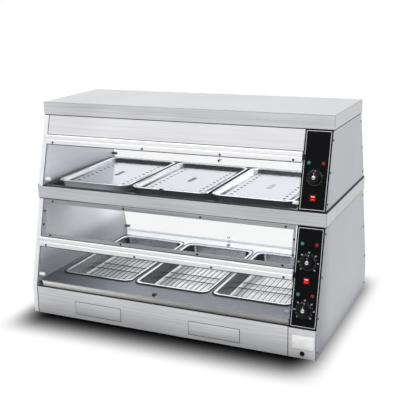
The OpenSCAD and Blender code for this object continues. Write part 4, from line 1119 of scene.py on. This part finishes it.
def make_floor():
    """White floor with a soft shadow round the foot of the case, even to the eye from dark to white."""
    material, tree, surface = shader(
        "floor", (0, 0, 0, 1), 0.0, 1.0, Specular_IOR_Level=0.0, Emission_Strength=1.0)

    def maths(operation, *values):
        return node(tree, "Math", dict(enumerate(values)), operation=operation).outputs[0]

    at = split_place(tree)
    across = maths("ABSOLUTE", maths("ADD", at["X"], SHADOW_SHIFT))
    along = maths("ABSOLUTE", at["Y"])
    beside = ramp(tree, across, SIDE_X - SIDE_SHADOW, SIDE_X + SIDE_SHADOW, 0.0, 1.0)
    before = ramp(tree, along, END_SHADOW[0] - KICK_Y, END_SHADOW[1] - KICK_Y, 0.0, 1.0)
    dark = maths("MULTIPLY", maths("SUBTRACT", 1.0, beside), maths("SUBTRACT", 1.0, before))
    light = maths("POWER", maths("SUBTRACT", 1.0, dark), SCREEN_GAMMA)
    grain = varied(tree, noise(tree, [GRAIN] * 3), GRAIN_SHARE)
    tree.links.new(shaded(tree, (1, 1, 1, 1), light, grain), surface.inputs["Emission Color"])
    mesh = bpy.data.meshes.new("floor")
    h = FLOOR_HALF
    mesh.from_pydata([(-h, -h, 0), (h, -h, 0), (h, h, 0), (-h, h, 0)], [], [(0, 1, 2, 3)])
    mesh.materials.append(material)
    floor = linked("floor", mesh)


def area_light(name, at, aim, size, power):
    """Rectangular light at a point, turned to another. Gives its object."""
    light = bpy.data.lights.new(name, "AREA")
    light.shape = "RECTANGLE"
    light.size, light.size_y = size
    light.energy = power
    holder = linked(name, light)
    holder.location = at
    holder.rotation_euler = (Vector(aim) - Vector(at)).to_track_quat("-Z", "Y").to_euler()
    return holder


# Brightness of the studio by direction, and where it changes: to the rear, up to a ring, up to the zenith
FRONT_DARK, REAR_WHITE, RING, ZENITH = 0.2, 1.1, 1.4, 0.5
TO_REAR, TO_RING, TO_ZENITH = (-0.25, 0.35), (0.2, 0.5), (0.8, 0.95)
# Studio lights: place, aim, size and power in watts
STUDIO_LIGHTS = {
    "key": ((-1.2, -1.4, 3.8), (0, 0, 0.4), (2.4, 1.6), 40),
    "fill": ((3.2, -1.0, 2.2), (0.2, 0, 0.4), (1.6, 1.6), 18),
}
# Light of the heat lamps: its drop below a tier's top, its share of the width, its depth and its power
LAMP_DROP, LAMP_SPAN, LAMP_WIDTH = 0.06, 0.9, 0.2
LAMP_POWER = {"upper": 3.0, "lower": 1.1}
# Light that the pillar's liner throws back: its distance from liner and top, its size and its power
GLOW_IN, GLOW_DROP, GLOW_SIZE, GLOW_POWER = 0.03, 0.14, (0.3, 0.1), 1.4
# Light that the rear glass lets onto the left wall of the lower tier: its place, size and power
WALL_GLOW_AT, WALL_GLOW_SIZE, WALL_GLOW_POWER = (-0.42, 0.3, 0.31), (0.2, 0.16), 0.4


def make_light():
    """White backdrop behind, a darker room in front, soft light above, and lights round and in the case."""
    world = bpy.data.worlds.new("studio")
    SCENE.world = world
    world.use_nodes = True
    tree = world.node_tree
    tree.nodes.clear()
    way = split_place(tree, "Generated")

    def mix(factor, low, high):
        return node(tree, "Mix", {0: factor, 2: low, 3: high}, data_type="FLOAT").outputs[0]

    horizon = ramp(tree, way["Y"], *TO_REAR, FRONT_DARK, REAR_WHITE)
    ring = mix(ramp(tree, way["Z"], *TO_RING, 0.0, 1.0), horizon, RING)
    level = mix(ramp(tree, way["Z"], *TO_ZENITH, 0.0, 1.0), ring, ZENITH)
    seen = node(tree, "LightPath").outputs["Is Camera Ray"]
    level = mix(seen, level, 1.0)
    back = node(tree, "Background", {"Strength": level})
    back.inputs["Color"].default_value = (1, 1, 1, 1)
    tree.links.new(back.outputs[0], node(tree, "OutputWorld").inputs[0])
    for name, light in STUDIO_LIGHTS.items():
        area_light(name, *light)
    for tier, top in (("upper", Z_ROOF), ("lower", Z_CEIL)):
        at = Vector(((X_LEFT + X_RIGHT) / 2, 0, top - LAMP_DROP))
        size = (LAMP_SPAN * (X_RIGHT - X_LEFT), LAMP_WIDTH)
        area_light(tier + "_lamps", at, at - UP, size, LAMP_POWER[tier])
    at = Vector((X_RIGHT - GLOW_IN, 0, Z_ROOF - GLOW_DROP))
    area_light("liner_glow", at, at - RIGHT, GLOW_SIZE, GLOW_POWER)
    at = Vector(WALL_GLOW_AT)
    glow = area_light("wall_glow", at, at - RIGHT, WALL_GLOW_SIZE, WALL_GLOW_POWER)
    glow.visible_glossy = False
    SCENE.view_settings.view_transform = "Standard"


make_camera()
make_casing()
make_seams()
make_flaps()
make_vessels()
make_lamps()
make_dials()
make_rockers()
make_outlines()
make_plates()
make_floor()
make_light()
